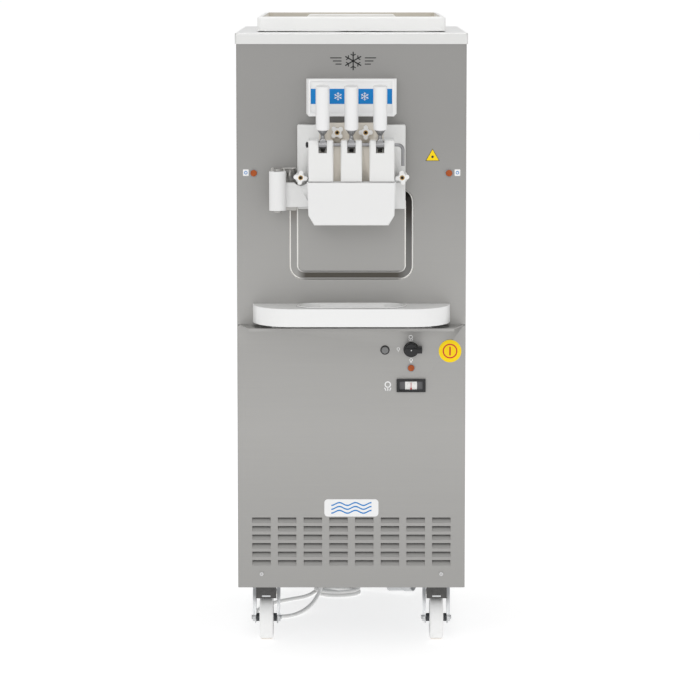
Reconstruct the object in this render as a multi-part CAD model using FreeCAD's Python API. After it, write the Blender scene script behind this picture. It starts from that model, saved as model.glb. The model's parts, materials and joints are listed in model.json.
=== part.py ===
"""Floor-standing soft serve machine: twin freezing cylinders, three draw levers, four casters.

Millimetres. +Z is up, the front faces -Y and the origin is on the floor, at the middle of the
machine's footprint. Depths are counted from the front panel's outer face: out(p) is p in front
of it, deep(d) is d behind it. Every sub-part has its own function and its own STEP file.
"""

import FreeCAD
import Part

import math
import os

V = FreeCAD.Vector

# ---- driving dimensions ---------------------------------------------------------------------
SHEET = 1.5                  # stainless sheet of the cabinet
RUN = 0.08                   # running clearance of pins and shafts
CAB_W = 520.0                # cabinet width
CAB_D = 734.0                # cabinet depth, front panel to rear panel
CAP_OVERHANG = 3.0           # the top cover reaches past the cabinet on all sides
CAP_TOP = 1405.0             # worktop height
CAP_RIM = 25.0               # height of the top cover's turned-down rim
PANEL_BOTTOM = 137.0         # lower edge of the cabinet panels
PANEL_TOP = CAP_TOP - 4.0    # the panels end inside the rim
JOGGLE = 2.0                 # side and rear panels step in by this much under the rim
JOGGLE_Z = CAP_TOP - CAP_RIM - 0.4
LEDGE_Z = 744.0              # top of the lower panel's turned-out ledge
LEDGE_REACH = 80.0
LEDGE_ROOT = 255.0           # half width of the ledge at the panel
LEDGE_NOSE = 232.0           # half width of the ledge at its front edge
BASE_Z = 139.0               # underside of the base pan, where the casters bolt on

SHELF_REACH = 128.0          # the drip shelf's front edge in front of the panel
SHELF_HALF = 224.0
SHELF_TOP = 792.5
SHELF_BOTTOM = 752.5
SHELF_SIDE = 4.0             # straight part of the shelf's sides
SHELF_CORNER = 90.0          # width of each rounded front corner
BOWL_LENGTH = 248.0
BOWL_WIDTH = 106.0
BOWL_CENTRE = 59.0           # bowl centre in front of the panel

CYL_X = 60.0                 # freezing cylinder axes
CYL_Z = 1118.0
CYL_BORE = 40.0
CYL_LENGTH = 340.0

LEVER_PITCH = 64.0
ROD_OUT = 105.0              # lever pivot rod in front of the panel
ROD_Z = 1159.0
ROD_R = 3.8
ROD_END = 115.0              # the rod's bent-down handle
ROD_TIP = 1112.0
PISTON_BACK = 21.0           # piston axis behind the rod axis
PISTON_R = 12.0
NOSE_DROP = 35.0             # the lever's nose points this far below level at rest, degrees
LEVER_TILT = 9.0             # the grips lean forward at rest, degrees
GRIP_R = 15.5
GRIP_LOW = 34.0              # the grip's ends above the rod
GRIP_HIGH = 133.0

HEAD_HALF = 122.0            # dispensing head flange
HEAD_BOTTOM = 1010.0
HEAD_TOP = 1200.0
FLANGE_T = 30.0
TOWER_FRONT = 121.0
TOWER_TOP = 1169.0
TOWER_EDGE = 96.0            # outer flanks of the outer towers
TOWER_HALF = 24.0
TOWER_GROOVE = 98.0          # floor of the grooves between towers, just behind the pivot rod
GUARD_LINE = 1077.0          # joint between towers and spout guard

UPPER_STUD = (32.0, 1183.5)
LOWER_STUD = (114.0, 1083.0)
UPPER_SEAT = 44.0            # knob seats in front of the panel
LOWER_SEAT = 56.0
STUD_R = 4.0
KNOB_R = 16.0
KNOB_T = 14.0

GUARD_HALF = 99.0
GUARD_BOTTOM = 980.0
GUARD_FRONT = 125.0
GUARD_BACK = 31.0
GUARD_WALL = 3.0
EAR_Z = (1016.0, 1071.0)
EAR_OUT = (44.0, 51.0)
HINGE_X = -166.0
HINGE_OUT = 60.0
BARREL_R = 19.0
BARREL_Z = (1009.0, 1097.0)

LID_HALF = 215.0
LID_FRONT = 85.0             # lid edges behind the front panel
LID_BACK = 685.0
LID_BOTTOM = CAP_TOP + 2.5
LID_TOP = 1440.0

HOPPER_X = (16.0, 188.0)
HOPPER_D = (112.0, 655.0)
HOPPER_FLOOR = 1262.0

WHEEL_R = 50.0
WHEEL_HALF = 15.5
CASTER_X = 197.0
FRONT_SWIVEL = 125.0         # swivel axis behind the front panel
REAR_AXLE = 644.0
CASTER_TRAIL = 35.0
FORK_IN = 24.0               # fork legs' inner faces each side of the wheel's middle

CORD_R = 4.5

# ---- derived places -------------------------------------------------------------------------
TILT = math.radians(LEVER_TILT)
FRONT_REACH = ROD_OUT + GRIP_HIGH * math.sin(TILT) + GRIP_R * math.cos(TILT)
FRONT_Y = (FRONT_REACH - CAB_D - CAP_OVERHANG) / 2
LEVER_X = {"left": -LEVER_PITCH, "centre": 0.0, "right": LEVER_PITCH}
STUDS = {
    "upper_left": (-UPPER_STUD[0], UPPER_STUD[1], UPPER_SEAT),
    "upper_right": (UPPER_STUD[0], UPPER_STUD[1], UPPER_SEAT),
    "lower_left": (-LOWER_STUD[0], LOWER_STUD[1], LOWER_SEAT),
    "lower_right": (LOWER_STUD[0], LOWER_STUD[1], LOWER_SEAT),
}
LAMPS = ((-221.0, 1089.0), (221.0, 1089.0), (136.0, 645.0))
SELECTOR = (136.0, 687.0)
BUTTON = (76.5, 686.0)
METER = (136.0, 604.75)
FAN = (82.0, 252.0)


def out(p):
    return FRONT_Y - p


def deep(d):
    return FRONT_Y + d


# ---- small helpers --------------------------------------------------------------------------
def box(x, y, z):
    """A box from three (low, high) pairs."""
    return Part.makeBox(x[1] - x[0], y[1] - y[0], z[1] - z[0], V(x[0], y[0], z[0]))


def front_box(x, p, z):
    """A box whose depth is counted outward from the front panel."""
    return box(x, (out(p[1]), out(p[0])), z)


def deep_box(x, d, z):
    """A box whose depth is counted inward from the front panel."""
    return box(x, (deep(d[0]), deep(d[1])), z)


def rod_y(r, x, z, y0, y1):
    return Part.makeCylinder(r, y1 - y0, V(x, y0, z), V(0, 1, 0))


def rod_x(r, y, z, x0, x1):
    return Part.makeCylinder(r, x1 - x0, V(x0, y, z), V(1, 0, 0))


def rod_z(r, x, y, z0, z1):
    return Part.makeCylinder(r, z1 - z0, V(x, y, z0))


def cone_z(r0, r1, x, y, z0, z1):
    return Part.makeCone(r0, r1, z1 - z0, V(x, y, z0))


def prism(points, along):
    """Extrudes a closed outline of vectors along a vector."""
    return Part.Face(Part.makePolygon(points + [points[0]])).extrude(along)


def fuse(shapes):
    return shapes[0].multiFuse(shapes[1:]).removeSplitter() if len(shapes) > 1 else shapes[0]


def cut(shape, tools):
    return shape.cut(tools) if not isinstance(tools, list) else shape.cut(Part.makeCompound(tools))


def rounded(shape, radius, wanted):
    """Fillets the edges whose end points satisfy wanted(a, b)."""
    edges = [e for e in shape.Edges if wanted(*edge_ends(e))]
    return shape.makeFillet(radius, edges)


def edge_ends(edge):
    return edge.valueAt(edge.FirstParameter), edge.valueAt(edge.LastParameter)


def upright(a, b):
    return abs(a.x - b.x) < 0.01 and abs(a.y - b.y) < 0.01


def along_y(a, b):
    return abs(a.x - b.x) < 0.01 and abs(a.z - b.z) < 0.01


def rounded_box(x, y, z, radius):
    """A box with its upright edges rounded."""
    return rounded(box(x, y, z), radius, upright)


def face_box(x, z, p, radius):
    """A box on the front with the edges along Y rounded."""
    return rounded(front_box(x, p, z), radius, along_y)


def ring_outline(half_x, z0, z1, radius, y):
    """A rounded rectangle in the XZ plane as a wire."""
    solid = rounded(box((-half_x, half_x), (y, y + 1), (z0, z1)), radius, along_y)
    flat = [f for f in solid.Faces if abs(f.CenterOfMass.y - y) < 0.01]
    return flat[0].OuterWire


def stadium(length, width, p, z0, z1):
    """An upright slug with half-round ends, centred on X at depth p in front of the panel."""
    half = length / 2 - width / 2
    y = out(p)
    parts = [box((-half, half), (y - width / 2, y + width / 2), (z0, z1))]
    parts += [rod_z(width / 2, x, y, z0, z1) for x in (-half, half)]
    return fuse(parts)


def turned(shape, axis_point, axis, degrees):
    copy = shape.copy()
    copy.rotate(axis_point, axis, degrees)
    return copy


def bent_path(points, share=0.45):
    """Straight runs joined by tangent arcs; returns the wire and the arcs' radii."""
    edges, radii = [], []
    start = points[0]
    for before, corner, after in zip(points, points[1:], points[2:]):
        a, b = (before - corner), (after - corner)
        turn = math.pi - a.getAngle(b)
        reach = share * min(a.Length, b.Length)
        radii.append(reach / math.tan(turn / 2))
        a.normalize()
        b.normalize()
        enter, leave = corner + a * reach, corner + b * reach
        inward = a + b
        inward.normalize()
        middle = corner + inward * (radii[-1] / math.cos(turn / 2) - radii[-1])
        edges.append(Part.LineSegment(start, enter).toShape())
        edges.append(Part.Arc(enter, middle, leave).toShape())
        start = leave
    edges.append(Part.LineSegment(start, points[-1]).toShape())
    return Part.Wire(edges), radii


def pipe(points, radius, share=0.45):
    """A round tube or cord along a bent path."""
    wire, radii = bent_path(points, share)
    tangent = points[1] - points[0]
    section = Part.Wire(Part.makeCircle(radius, points[0], tangent))
    solid = wire.makePipeShell([section], True, False)
    exact = math.pi * radius ** 2 * wire.Length
    return solid, wire.Length, radii, solid.Volume / exact


# ---- cabinet --------------------------------------------------------------------------------
def chassis_frame():
    """Base pan and welded square tubes: posts, top ring, cross rails. One solid per tube."""
    tube = 25.0
    wall = 2.0
    post_x = CAB_W / 2 - SHEET - 2.5 - tube
    post_d = (22.0, CAB_D - SHEET - 0.3 - tube)
    top_z = CAP_TOP - CAP_RIM - 2.0
    pan = rounded_box((-255, 255), (deep(8), deep(CAB_D - 8)), (BASE_Z, BASE_Z + 3), 4)
    parts = [pan]
    for sx in (-1, 1):
        x = (post_x, post_x + tube) if sx > 0 else (-post_x - tube, -post_x)
        for d in post_d:
            post = deep_box(x, (d, d + tube), (BASE_Z + 3, top_z))
            hole = deep_box((x[0] + wall, x[1] - wall), (d + wall, d + tube - wall), (BASE_Z, top_z + 1))
            parts.append(cut(post, hole))
        for z in (BASE_Z + 3, top_z - tube):
            parts.append(deep_box(x, (post_d[0] + tube, post_d[1]), (z, z + tube)))
    for d in post_d:
        for z in (BASE_Z + 3, top_z - tube):
            parts.append(deep_box((-post_x, post_x), (d, d + tube), (z, z + tube)))
    for z in (980.0, 1205.0):
        parts.append(deep_box((-post_x, post_x), (post_d[0], post_d[0] + tube), (z, z + tube)))
    for x, z, _, face in SCREWS:
        if face == "front":
            parts.append(deep_box((x - 12, x + 12), (8, 11), (BASE_Z + 3, z + 12)))
    return Part.makeCompound([cut(part, [screw_hole(s) for s in SCREWS]) for part in parts])


def folded_front(z0, z1):
    """A front panel with both side edges turned back."""
    turn = 18.0
    half = CAB_W / 2
    outer = box((-half, half), (deep(0), deep(turn)), (z0, z1))
    outer = rounded(outer, 3.0, lambda a, b: upright(a, b) and abs(a.y - deep(0)) < 0.01)
    inner = box((-half + SHEET, half - SHEET), (deep(SHEET), deep(turn + 1)), (z0 - 1, z1 + 1))
    return cut(outer, inner)


def pressed_channel():
    """The rounded rectangular channel pressed into the upper panel, as (added, removed) solids."""
    depth = 8.0
    outer = (139.5, 848.0, 1053.0, 30.0)
    inner = (121.5, 865.5, 1035.5, 13.0)

    def ring(grow, d0, d1):
        wires = [
            ring_outline(outer[0] + grow, outer[1] - grow, outer[2] + grow, outer[3] + grow, deep(d0)),
            ring_outline(inner[0] - grow, inner[1] + grow, inner[2] - grow, inner[3] - grow, deep(d0)),
        ]
        big, small = [Part.Face(w).extrude(V(0, d1 - d0, 0)) for w in wires]
        return big.cut(small)

    return ring(SHEET, 0.2, depth + SHEET), ring(0, -1, depth)


def front_panel_upper():
    """Upper front panel: pressed channel, window for the dispensing head, two lamp holes."""
    panel = folded_front(LEDGE_Z + 0.2, PANEL_TOP)
    added, removed = pressed_channel()
    panel = cut(fuse([panel, added]), removed)
    mouth = [
        e for e in panel.Edges
        if abs(e.CenterOfMass.y - deep(0)) < 0.01
        and all(abs(p.x) < 145 and 845 < p.z < 1060 for p in edge_ends(e))
    ]
    panel = panel.makeFillet(2.5, mouth)
    window = box((-119, 119), (deep(-2), deep(12)), (HEAD_BOTTOM + 3, HEAD_TOP - 3))
    holes = [rod_y(7.2, x, z, deep(-2), deep(6)) for x, z in LAMPS[:2]]
    return cut(panel, [window] + holes)


LOUVRE_W = 42.4
LOUVRE_H = 12.5
LOUVRE_COLUMNS = [58.9 * (i - 3.5) for i in range(8)]
LOUVRE_ROWS = [188.0 + 19.8 * i for i in range(6)]


def louvre(x, z):
    """One pressed-in louvre as (leaf, window): the leaf leans inward from its lower edge."""
    inward = 7.0
    t = 1.2
    x0 = x - LOUVRE_W / 2
    top = z + LOUVRE_H - 1.8
    leaf = prism(
        [V(x0, deep(0.2), z), V(x0, deep(inward), top), V(x0, deep(inward + t), top), V(x0, deep(SHEET), z)],
        V(LOUVRE_W, 0, 0),
    )
    cheeks = []
    for side in (x0 - t + 0.2, x0 + LOUVRE_W - 0.2):
        cheeks.append(
            prism(
                [
                    V(side, deep(SHEET - 0.2), z - 0.2),
                    V(side, deep(SHEET - 0.2), z + LOUVRE_H),
                    V(side, deep(inward + t), z + LOUVRE_H),
                    V(side, deep(inward + t), top - 0.4),
                ],
                V(t, 0, 0),
            )
        )
    window = deep_box((x0, x0 + LOUVRE_W), (-1, SHEET + 0.5), (z, z + LOUVRE_H))
    return [leaf] + cheeks, window


def front_panel_lower():
    """Lower front panel: turned-out ledge, louvres, holes for the controls and two screws."""
    panel = folded_front(PANEL_BOTTOM, LEDGE_Z - SHEET)
    ledge_low = LEDGE_Z - SHEET
    corners = [
        V(-LEDGE_ROOT, deep(SHEET), ledge_low),
        V(-LEDGE_ROOT, out(0), ledge_low),
        V(-LEDGE_NOSE, out(LEDGE_REACH), ledge_low),
        V(LEDGE_NOSE, out(LEDGE_REACH), ledge_low),
        V(LEDGE_ROOT, out(0), ledge_low),
        V(LEDGE_ROOT, deep(SHEET), ledge_low),
    ]
    ledge = prism(corners, V(0, 0, SHEET))
    hem = front_box((-LEDGE_NOSE, LEDGE_NOSE), (LEDGE_REACH - SHEET, LEDGE_REACH), (ledge_low - 5, ledge_low))
    leaves, windows = [], []
    for x in LOUVRE_COLUMNS:
        for z in LOUVRE_ROWS:
            leaf, window = louvre(x, z)
            leaves += leaf
            windows.append(window)
    holes = [
        rod_y(7.2, LAMPS[2][0], LAMPS[2][1], deep(-2), deep(4)),
        rod_y(4.2, SELECTOR[0], SELECTOR[1], deep(-2), deep(4)),
        rod_y(8.3, BUTTON[0], BUTTON[1], deep(-2), deep(4)),
        deep_box((METER[0] - 28, METER[0] + 28), (-2, 4), (METER[1] - 11, METER[1] + 11)),
    ]
    panel = cut(fuse([panel, ledge, hem]), windows + holes)
    return cut(fuse([panel] + leaves), [screw_hole(s) for s in SCREWS if s[3] == "front"])


def side_panel(sign):
    """Side panel with vent slots low down and its top edge stepped in; sign is -1 for left."""
    half = CAB_W / 2

    def sheet(x0, x1, d1, z0, z1):
        return deep_box(sorted((sign * x0, sign * x1)), (18.3, d1), (z0, z1))

    inner = half - SHEET - JOGGLE
    x = sorted((sign * half, sign * (half - SHEET)))
    skin = fuse([
        sheet(half - SHEET, half, CAB_D, PANEL_BOTTOM, JOGGLE_Z),
        sheet(inner, half, CAB_D - 6, JOGGLE_Z - SHEET, JOGGLE_Z),
        sheet(inner, half - JOGGLE, CAB_D - 6, JOGGLE_Z - SHEET, PANEL_TOP),
    ])
    slots = []
    for row in range(7):
        z = 200 + 18 * row
        for d0 in (300, 440):
            slots.append(deep_box((x[0] - 1, x[1] + 1), (d0, d0 + 120), (z, z + 6)))
    return cut(skin, slots + [screw_hole(s) for s in SCREWS if s[3] == ("right" if sign > 0 else "left")])


def rear_panel():
    """Rear panel between the side panels, with two fields of vent slots and a stepped top edge."""
    half = CAB_W / 2 - SHEET - 0.3
    inner = CAB_D - SHEET - JOGGLE
    skin = fuse([
        deep_box((-half, half), (CAB_D - SHEET, CAB_D), (PANEL_BOTTOM, JOGGLE_Z)),
        deep_box((-half + 2, half - 2), (inner, CAB_D), (JOGGLE_Z - SHEET, JOGGLE_Z)),
        deep_box((-half + 2, half - 2), (inner, CAB_D - JOGGLE), (JOGGLE_Z - SHEET, PANEL_TOP)),
    ])
    slots = []
    for base, rows in ((180, 12), (1180, 6)):
        for row in range(rows):
            z = base + 18 * row
            for x0 in (-190, -60, 70):
                slots.append(deep_box((x0, x0 + 120), (CAB_D - 4, CAB_D + 1), (z, z + 6)))
    return cut(skin, slots + [screw_hole(s) for s in SCREWS if s[3] == "rear"])


def top_cover():
    """Worktop pressing: turned-down rim and two hopper openings."""
    half = CAB_W / 2 + CAP_OVERHANG
    y = (deep(-CAP_OVERHANG), deep(CAB_D + CAP_OVERHANG))
    outer = rounded_box((-half, half), y, (CAP_TOP - CAP_RIM, CAP_TOP), 5)
    outer = rounded(outer, 3.5, lambda a, b: abs(a.z - CAP_TOP) < 0.01 and abs(b.z - CAP_TOP) < 0.01)
    t = 2.0
    inner = box((-half + t, half - t), (y[0] + t, y[1] - t), (CAP_TOP - CAP_RIM - 1, CAP_TOP - t))
    openings = [
        rounded_box((min(s * HOPPER_X[0], s * HOPPER_X[1]) - 0.5, max(s * HOPPER_X[0], s * HOPPER_X[1]) + 0.5),
                    (deep(HOPPER_D[0] - 0.5), deep(HOPPER_D[1] + 0.5)), (CAP_TOP - 5, CAP_TOP + 1), 24)
        for s in (-1, 1)
    ]
    return cut(outer, [inner] + openings)


def mix_hoppers():
    """Two deep-drawn mix tanks that hang by their lips in the top cover."""
    tanks = []
    for s in (-1, 1):
        x = sorted((s * HOPPER_X[0], s * HOPPER_X[1]))
        y = (deep(HOPPER_D[0]), deep(HOPPER_D[1]))
        lip = rounded_box((x[0] - 9, x[1] + 9), (y[0] - 9, y[1] + 9), (CAP_TOP, CAP_TOP + 2), 30)
        shell = rounded_box((x[0], x[1]), y, (HOPPER_FLOOR, CAP_TOP + 1), 24)
        well = rounded_box((x[0] + 1.5, x[1] - 1.5), (y[0] + 1.5, y[1] - 1.5), (HOPPER_FLOOR + 1.5, CAP_TOP + 3), 22.5)
        drain = rod_z(10.1, s * CYL_X, deep(150), HOPPER_FLOOR - 2, HOPPER_FLOOR + 4)
        tanks.append(cut(fuse([shell, lip]), [well, drain]))
    return Part.makeCompound(tanks)


def feed_tubes():
    """Air-mix feed tubes that stand in the hoppers and drop into the cylinders."""
    tubes = []
    for s in (-1, 1):
        x, y = s * CYL_X, deep(150)
        body = rod_z(10, x, y, CYL_Z + 53, 1378)
        ring = rod_z(14, x, y, 1370, 1378)
        bore = rod_z(7, x, y, CYL_Z + 50, 1380)
        port = rod_x(2.5, y, HOPPER_FLOOR + 12, x - 12, x + 12)
        tubes.append(cut(fuse([body, ring]), [bore, port]))
    return Part.makeCompound(tubes)


def hopper_lid():
    """Moulded lid over both hoppers: skirt, dished top and a bow grip."""
    y = (deep(LID_FRONT), deep(LID_BACK))
    outer = rounded_box((-LID_HALF, LID_HALF), y, (LID_BOTTOM, LID_TOP), 12)
    outer = rounded(outer, 5, lambda a, b: abs(a.z - LID_TOP) < 0.01 and abs(b.z - LID_TOP) < 0.01)
    rim, floor_z, floor_t = 13.0, 1420.0, 3.5
    dish = rounded_box((-LID_HALF + rim, LID_HALF - rim), (y[0] + rim, y[1] - rim),
                       (floor_z + floor_t, LID_TOP + 1), 10)
    under = rounded_box((-LID_HALF + 3, LID_HALF - 3), (y[0] + 3, y[1] - 3), (LID_BOTTOM - 1, floor_z), 9)
    lid = cut(outer, [dish, under])
    grip_d = (LID_FRONT + LID_BACK) / 2
    crest, foot, bar = 1441.0, floor_z + floor_t, 6.0
    half_foot, half_crest = 115.0, 99.0

    def arch(drop, widen):
        return [
            V(-half_foot + widen, deep(grip_d - 9), foot - (1 if drop else 0)),
            V(-half_crest + widen * 0.6, deep(grip_d - 9), crest - drop),
            V(half_crest - widen * 0.6, deep(grip_d - 9), crest - drop),
            V(half_foot - widen, deep(grip_d - 9), foot - (1 if drop else 0)),
        ]

    bow = prism(arch(0, 0), V(0, 18, 0))
    bow = rounded(bow, 8, lambda a, b: along_y(a, b) and a.z > crest - 1)
    gap = prism(arch(bar, bar + 2), V(0, 18, 0))
    gap = rounded(gap, 5, lambda a, b: along_y(a, b) and a.z > crest - bar - 1)
    bow = rounded(cut(bow, gap), 2, lambda a, b: abs(a.z - crest) < 0.01 and abs(b.z - crest) < 0.01)
    pads = []
    for x in (-195, -7, 7, 195):
        for d in (150, 620):
            pads.append(deep_box((x - 4, x + 4), (d - 15, d + 15), (CAP_TOP + 2.3, floor_z + 1)))
    return fuse([lid, bow] + pads)


def header_box():
    """Light plastic sign box above the dispensing head, with a framed recess for its label."""
    half, face = 101.5, 94.0
    z0, z1 = 1219.0, 1303.0
    plan = [
        V(-half, out(0), z0), V(-half, out(34), z0), V(-face, out(42), z0),
        V(face, out(42), z0), V(half, out(34), z0), V(half, out(0), z0),
    ]
    shell = prism(plan, V(0, 0, z1 - z0))
    shell = rounded(shell, 2, lambda a, b: abs(a.y - out(42)) < 0.01 and abs(b.y - out(42)) < 0.01)
    corners = [
        prism([V(s * (half - 7), out(50), z0 - 1), V(s * (half + 1), out(50), z0 - 1),
               V(s * (half + 1), out(50), z0 + 7)], V(0, 60, 0))
        for s in (-1, 1)
    ]
    hollow = front_box((-half + 3, half - 3), (-1, 34), (z0 + 5, z1 - 3))
    recess = front_box((-half + 10, half - 10), (40, 43), (z0 + 8, z1 - 6))
    return cut(shell, corners + [hollow, recess])


# ---- dispensing head ------------------------------------------------------------------------
def freezing_cylinders():
    """Both evaporator barrels welded to their front plate, with the four head studs."""
    plate = rounded(deep_box((-130, 130), (14, 22), (1004, 1203)), 8, along_y)
    parts, holes = [plate], []
    for s in (-1, 1):
        x = s * CYL_X
        parts.append(rod_y(46, x, CYL_Z, deep(0), deep(CYL_LENGTH)))
        parts.append(rod_y(52, x, CYL_Z, deep(22), deep(CYL_LENGTH - 5)))
        holes.append(rod_y(CYL_BORE, x, CYL_Z, deep(-1), deep(CYL_LENGTH - 5)))
        holes.append(rod_y(9, x, CYL_Z, deep(CYL_LENGTH - 10), deep(CYL_LENGTH + 1)))
    for x, z, seat in STUDS.values():
        parts.append(rod_y(STUD_R, x, z, out(seat + 7), deep(14.5)))
    return cut(fuse(parts), holes)


def beater(side):
    """Dasher: shaft with three scraper blades on spider arms."""
    x = CYL_X if side == "right" else -CYL_X
    y0, y1 = deep(14), deep(CYL_LENGTH - 10)
    shaft = rod_y(8, x, CYL_Z, y0, deep(CYL_LENGTH + 22))
    parts = [shaft]
    for k in range(3):
        blade = box((x - 2, x + 2), (y0 + 4, y1), (CYL_Z + 30, CYL_Z + 38))
        arms = [box((x - 2, x + 2), (y, y + 8), (CYL_Z, CYL_Z + 31)) for y in (y0 + 4, y0 + 155, y1 - 8)]
        for piece in [blade] + arms:
            parts.append(turned(piece, V(x, 0, CYL_Z), V(0, 1, 0), 120 * k))
    return fuse(parts)


def gearmotors():
    """One gearmotor behind each cylinder."""
    units = []
    for s in (-1, 1):
        x, d = s * CYL_X, CYL_LENGTH + 2
        case = rounded(deep_box((x - 44, x + 44), (d, d + 64), (CYL_Z - 44, CYL_Z + 44)), 10, along_y)
        body = rod_y(40, x, CYL_Z, deep(d + 63), deep(d + 218))
        ribs = [rod_y(43, x, CYL_Z, deep(d + 73 + 12 * k), deep(d + 76 + 12 * k)) for k in range(12)]
        cover = rod_y(36, x, CYL_Z, deep(d + 217), deep(d + 234))
        socket = rod_y(8 + RUN, x, CYL_Z, deep(d - 1), deep(d + 24))
        units.append(cut(fuse([case, body, cover] + ribs), socket))
    return Part.makeCompound(units)


def head_body():
    """Moulded dispensing head: flange, lower block, three towers, knob seats, piston bores."""
    flange = face_box((-HEAD_HALF, HEAD_HALF), (HEAD_BOTTOM, HEAD_TOP), (0.2, FLANGE_T), 4)
    flange = rounded(flange, 2, lambda a, b: abs(a.y - out(FLANGE_T)) < 0.01 and abs(b.y - out(FLANGE_T)) < 0.01)
    root = FLANGE_T - 1
    low = face_box((-88, 88), (HEAD_BOTTOM + 1, GUARD_LINE), (root, 108), 5)
    core = front_box((-90, 90), (root, TOWER_GROOVE), (GUARD_LINE - 12, 1160))
    shoulder = face_box((-58, 58), (1150, HEAD_TOP + 5), (root, UPPER_SEAT), 5)
    parts = [flange, low, core, shoulder]
    spans = ((-TOWER_EDGE, TOWER_HALF - LEVER_PITCH), (-TOWER_HALF, TOWER_HALF), (LEVER_PITCH - TOWER_HALF, TOWER_EDGE))
    for span in spans:
        tower = front_box(span, (root, TOWER_FRONT), (GUARD_LINE + 0.6, TOWER_TOP))
        tower = rounded(tower, 4, lambda a, b: upright(a, b) and abs(a.y - out(TOWER_FRONT)) < 0.01)
        parts.append(tower)
    for x, z, seat in STUDS.values():
        if seat == LOWER_SEAT:
            parts.append(rod_y(13, x, z, out(seat), out(root)))
    for s in (-1, 1):
        parts.append(rod_y(CYL_BORE - 0.5, s * CYL_X, CYL_Z, out(1), deep(6)))
    tools = []
    for x in LEVER_X.values():
        y = out(ROD_OUT) + PISTON_BACK
        tools.append(rod_z(PISTON_R + RUN, x, y, HEAD_BOTTOM - 5, TOWER_TOP + 5))
        tools.append(front_box((x - 9.3, x + 9.3), (66, TOWER_FRONT + 5), (1141, TOWER_TOP + 5)))
    tools.append(rod_x(ROD_R + RUN, out(ROD_OUT), ROD_Z, -100, 100))
    for x, z, seat in STUDS.values():
        tools.append(rod_y(STUD_R + 0.3, x, z, out(seat + 2), deep(8)))
        tools.append(rod_y(KNOB_R + 2.5, x, z, out(TOWER_FRONT + 5), out(seat)))
    return cut(fuse(parts), tools + mix_passages())


def mix_passages():
    """Slanted drillings from both cylinders down to the three piston bores."""
    y = out(ROD_OUT) + PISTON_BACK
    passages = []
    for start, end in ((-62, -LEVER_PITCH), (-45, 0), (45, 0), (62, LEVER_PITCH)):
        a, b = V(start, deep(8), 1092), V(end, y, HEAD_BOTTOM + 15)
        passages.append(Part.makeCylinder(6, (b - a).Length, a, b - a))
    return passages


def spout_nozzles():
    """Three screw-on star nozzles under the head."""
    caps = []
    for x in LEVER_X.values():
        y = out(ROD_OUT) + PISTON_BACK
        cap = fuse([rod_z(16, x, y, 998, HEAD_BOTTOM), cone_z(12, 16, x, y, 986, 998)])
        bore = rod_z(12.4, x, y, 1001, HEAD_BOTTOM + 1)
        star = [rod_z(3.2, x, y, 984, 1002)]
        for k in range(6):
            tooth = box((x - 1.6, x + 1.6), (y, y + 8.5), (984, 1002))
            star.append(turned(tooth, V(x, y, 0), V(0, 0, 1), 60 * k))
        caps.append(cut(cap, [bore, fuse(star)]))
    return Part.makeCompound(caps)


def pivot_pin():
    """Lever pivot rod with a bent-down handle on the right and a retaining ring on the left."""
    y, bend = out(ROD_OUT), 12.0
    start = V(-TOWER_EDGE - 6, y, ROD_Z)
    enter, leave = V(ROD_END - bend, y, ROD_Z), V(ROD_END, y, ROD_Z - bend)
    turn = math.sin(math.pi / 4) * bend
    middle = V(ROD_END - bend + turn, y, ROD_Z - bend + turn)
    path = Part.Wire([
        Part.LineSegment(start, enter).toShape(),
        Part.Arc(enter, middle, leave).toShape(),
        Part.LineSegment(leave, V(ROD_END, y, ROD_TIP)).toShape(),
    ])
    section = Part.Wire(Part.makeCircle(ROD_R, start, V(1, 0, 0)))
    rod = path.makePipeShell([section], True, False)
    ring = rod_x(6.5, y, ROD_Z, -TOWER_EDGE - 5, -TOWER_EDGE - 0.6)
    return fuse([rod, ring])


def lever_arm(x):
    """Steel lever: hub on the pivot rod, nose with cross pin to the piston, neck and ferrule."""
    y, z = out(ROD_OUT), ROD_Z
    centre = V(x, y, z)
    hub = rod_x(8.5, y, z, x - 8.8, x + 8.8)
    shoulders = [(-8.8, 0), (-8.8, 5), (-4.5, 15), (4.5, 15), (8.8, 5), (8.8, 0)]
    shank = prism([V(x + dx, y - 7, z + dz) for dx, dz in shoulders], V(0, 14, 0))
    neck = rod_z(4.5, x, y, z + 5, z + GRIP_LOW)
    collar = cone_z(5, 12.5, x, y, z + GRIP_LOW - 12, z + GRIP_LOW)
    stub = rod_z(6, x, y, z + GRIP_LOW - 1, z + GRIP_LOW + 25)
    upper = turned(fuse([shank, neck, collar, stub]), centre, V(1, 0, 0), LEVER_TILT)
    nose = box((x - 4.5, x + 4.5), (y, y + PISTON_BACK), (z - 4, z + 4))
    tip = rod_x(5, y + PISTON_BACK, z, x - 4.5, x + 4.5)
    pin = rod_x(3, y + PISTON_BACK, z, x - 9, x + 9)
    lower = turned(fuse([nose, tip, pin]), centre, V(1, 0, 0), -NOSE_DROP)
    return cut(fuse([hub, upper, lower]), rod_x(ROD_R + RUN, y, z, x - 20, x + 20))


def lever_grip(x):
    """White moulded grip with a domed lower end and a slightly dished flat top."""
    y, z = out(ROD_OUT), ROD_Z
    low, high = z + GRIP_LOW, z + GRIP_HIGH
    body = rod_z(GRIP_R, x, y, low, high)
    body = rounded(body, 4, lambda a, b: abs(a.z - low) < 0.01 and abs(b.z - low) < 0.01)
    body = rounded(body, 1.5, lambda a, b: abs(a.z - high) < 0.01 and abs(b.z - high) < 0.01)
    socket = rod_z(6, x, y, low - 1, z + GRIP_LOW + 25)
    return turned(cut(body, socket), V(x, y, z), V(1, 0, 0), LEVER_TILT)


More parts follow.
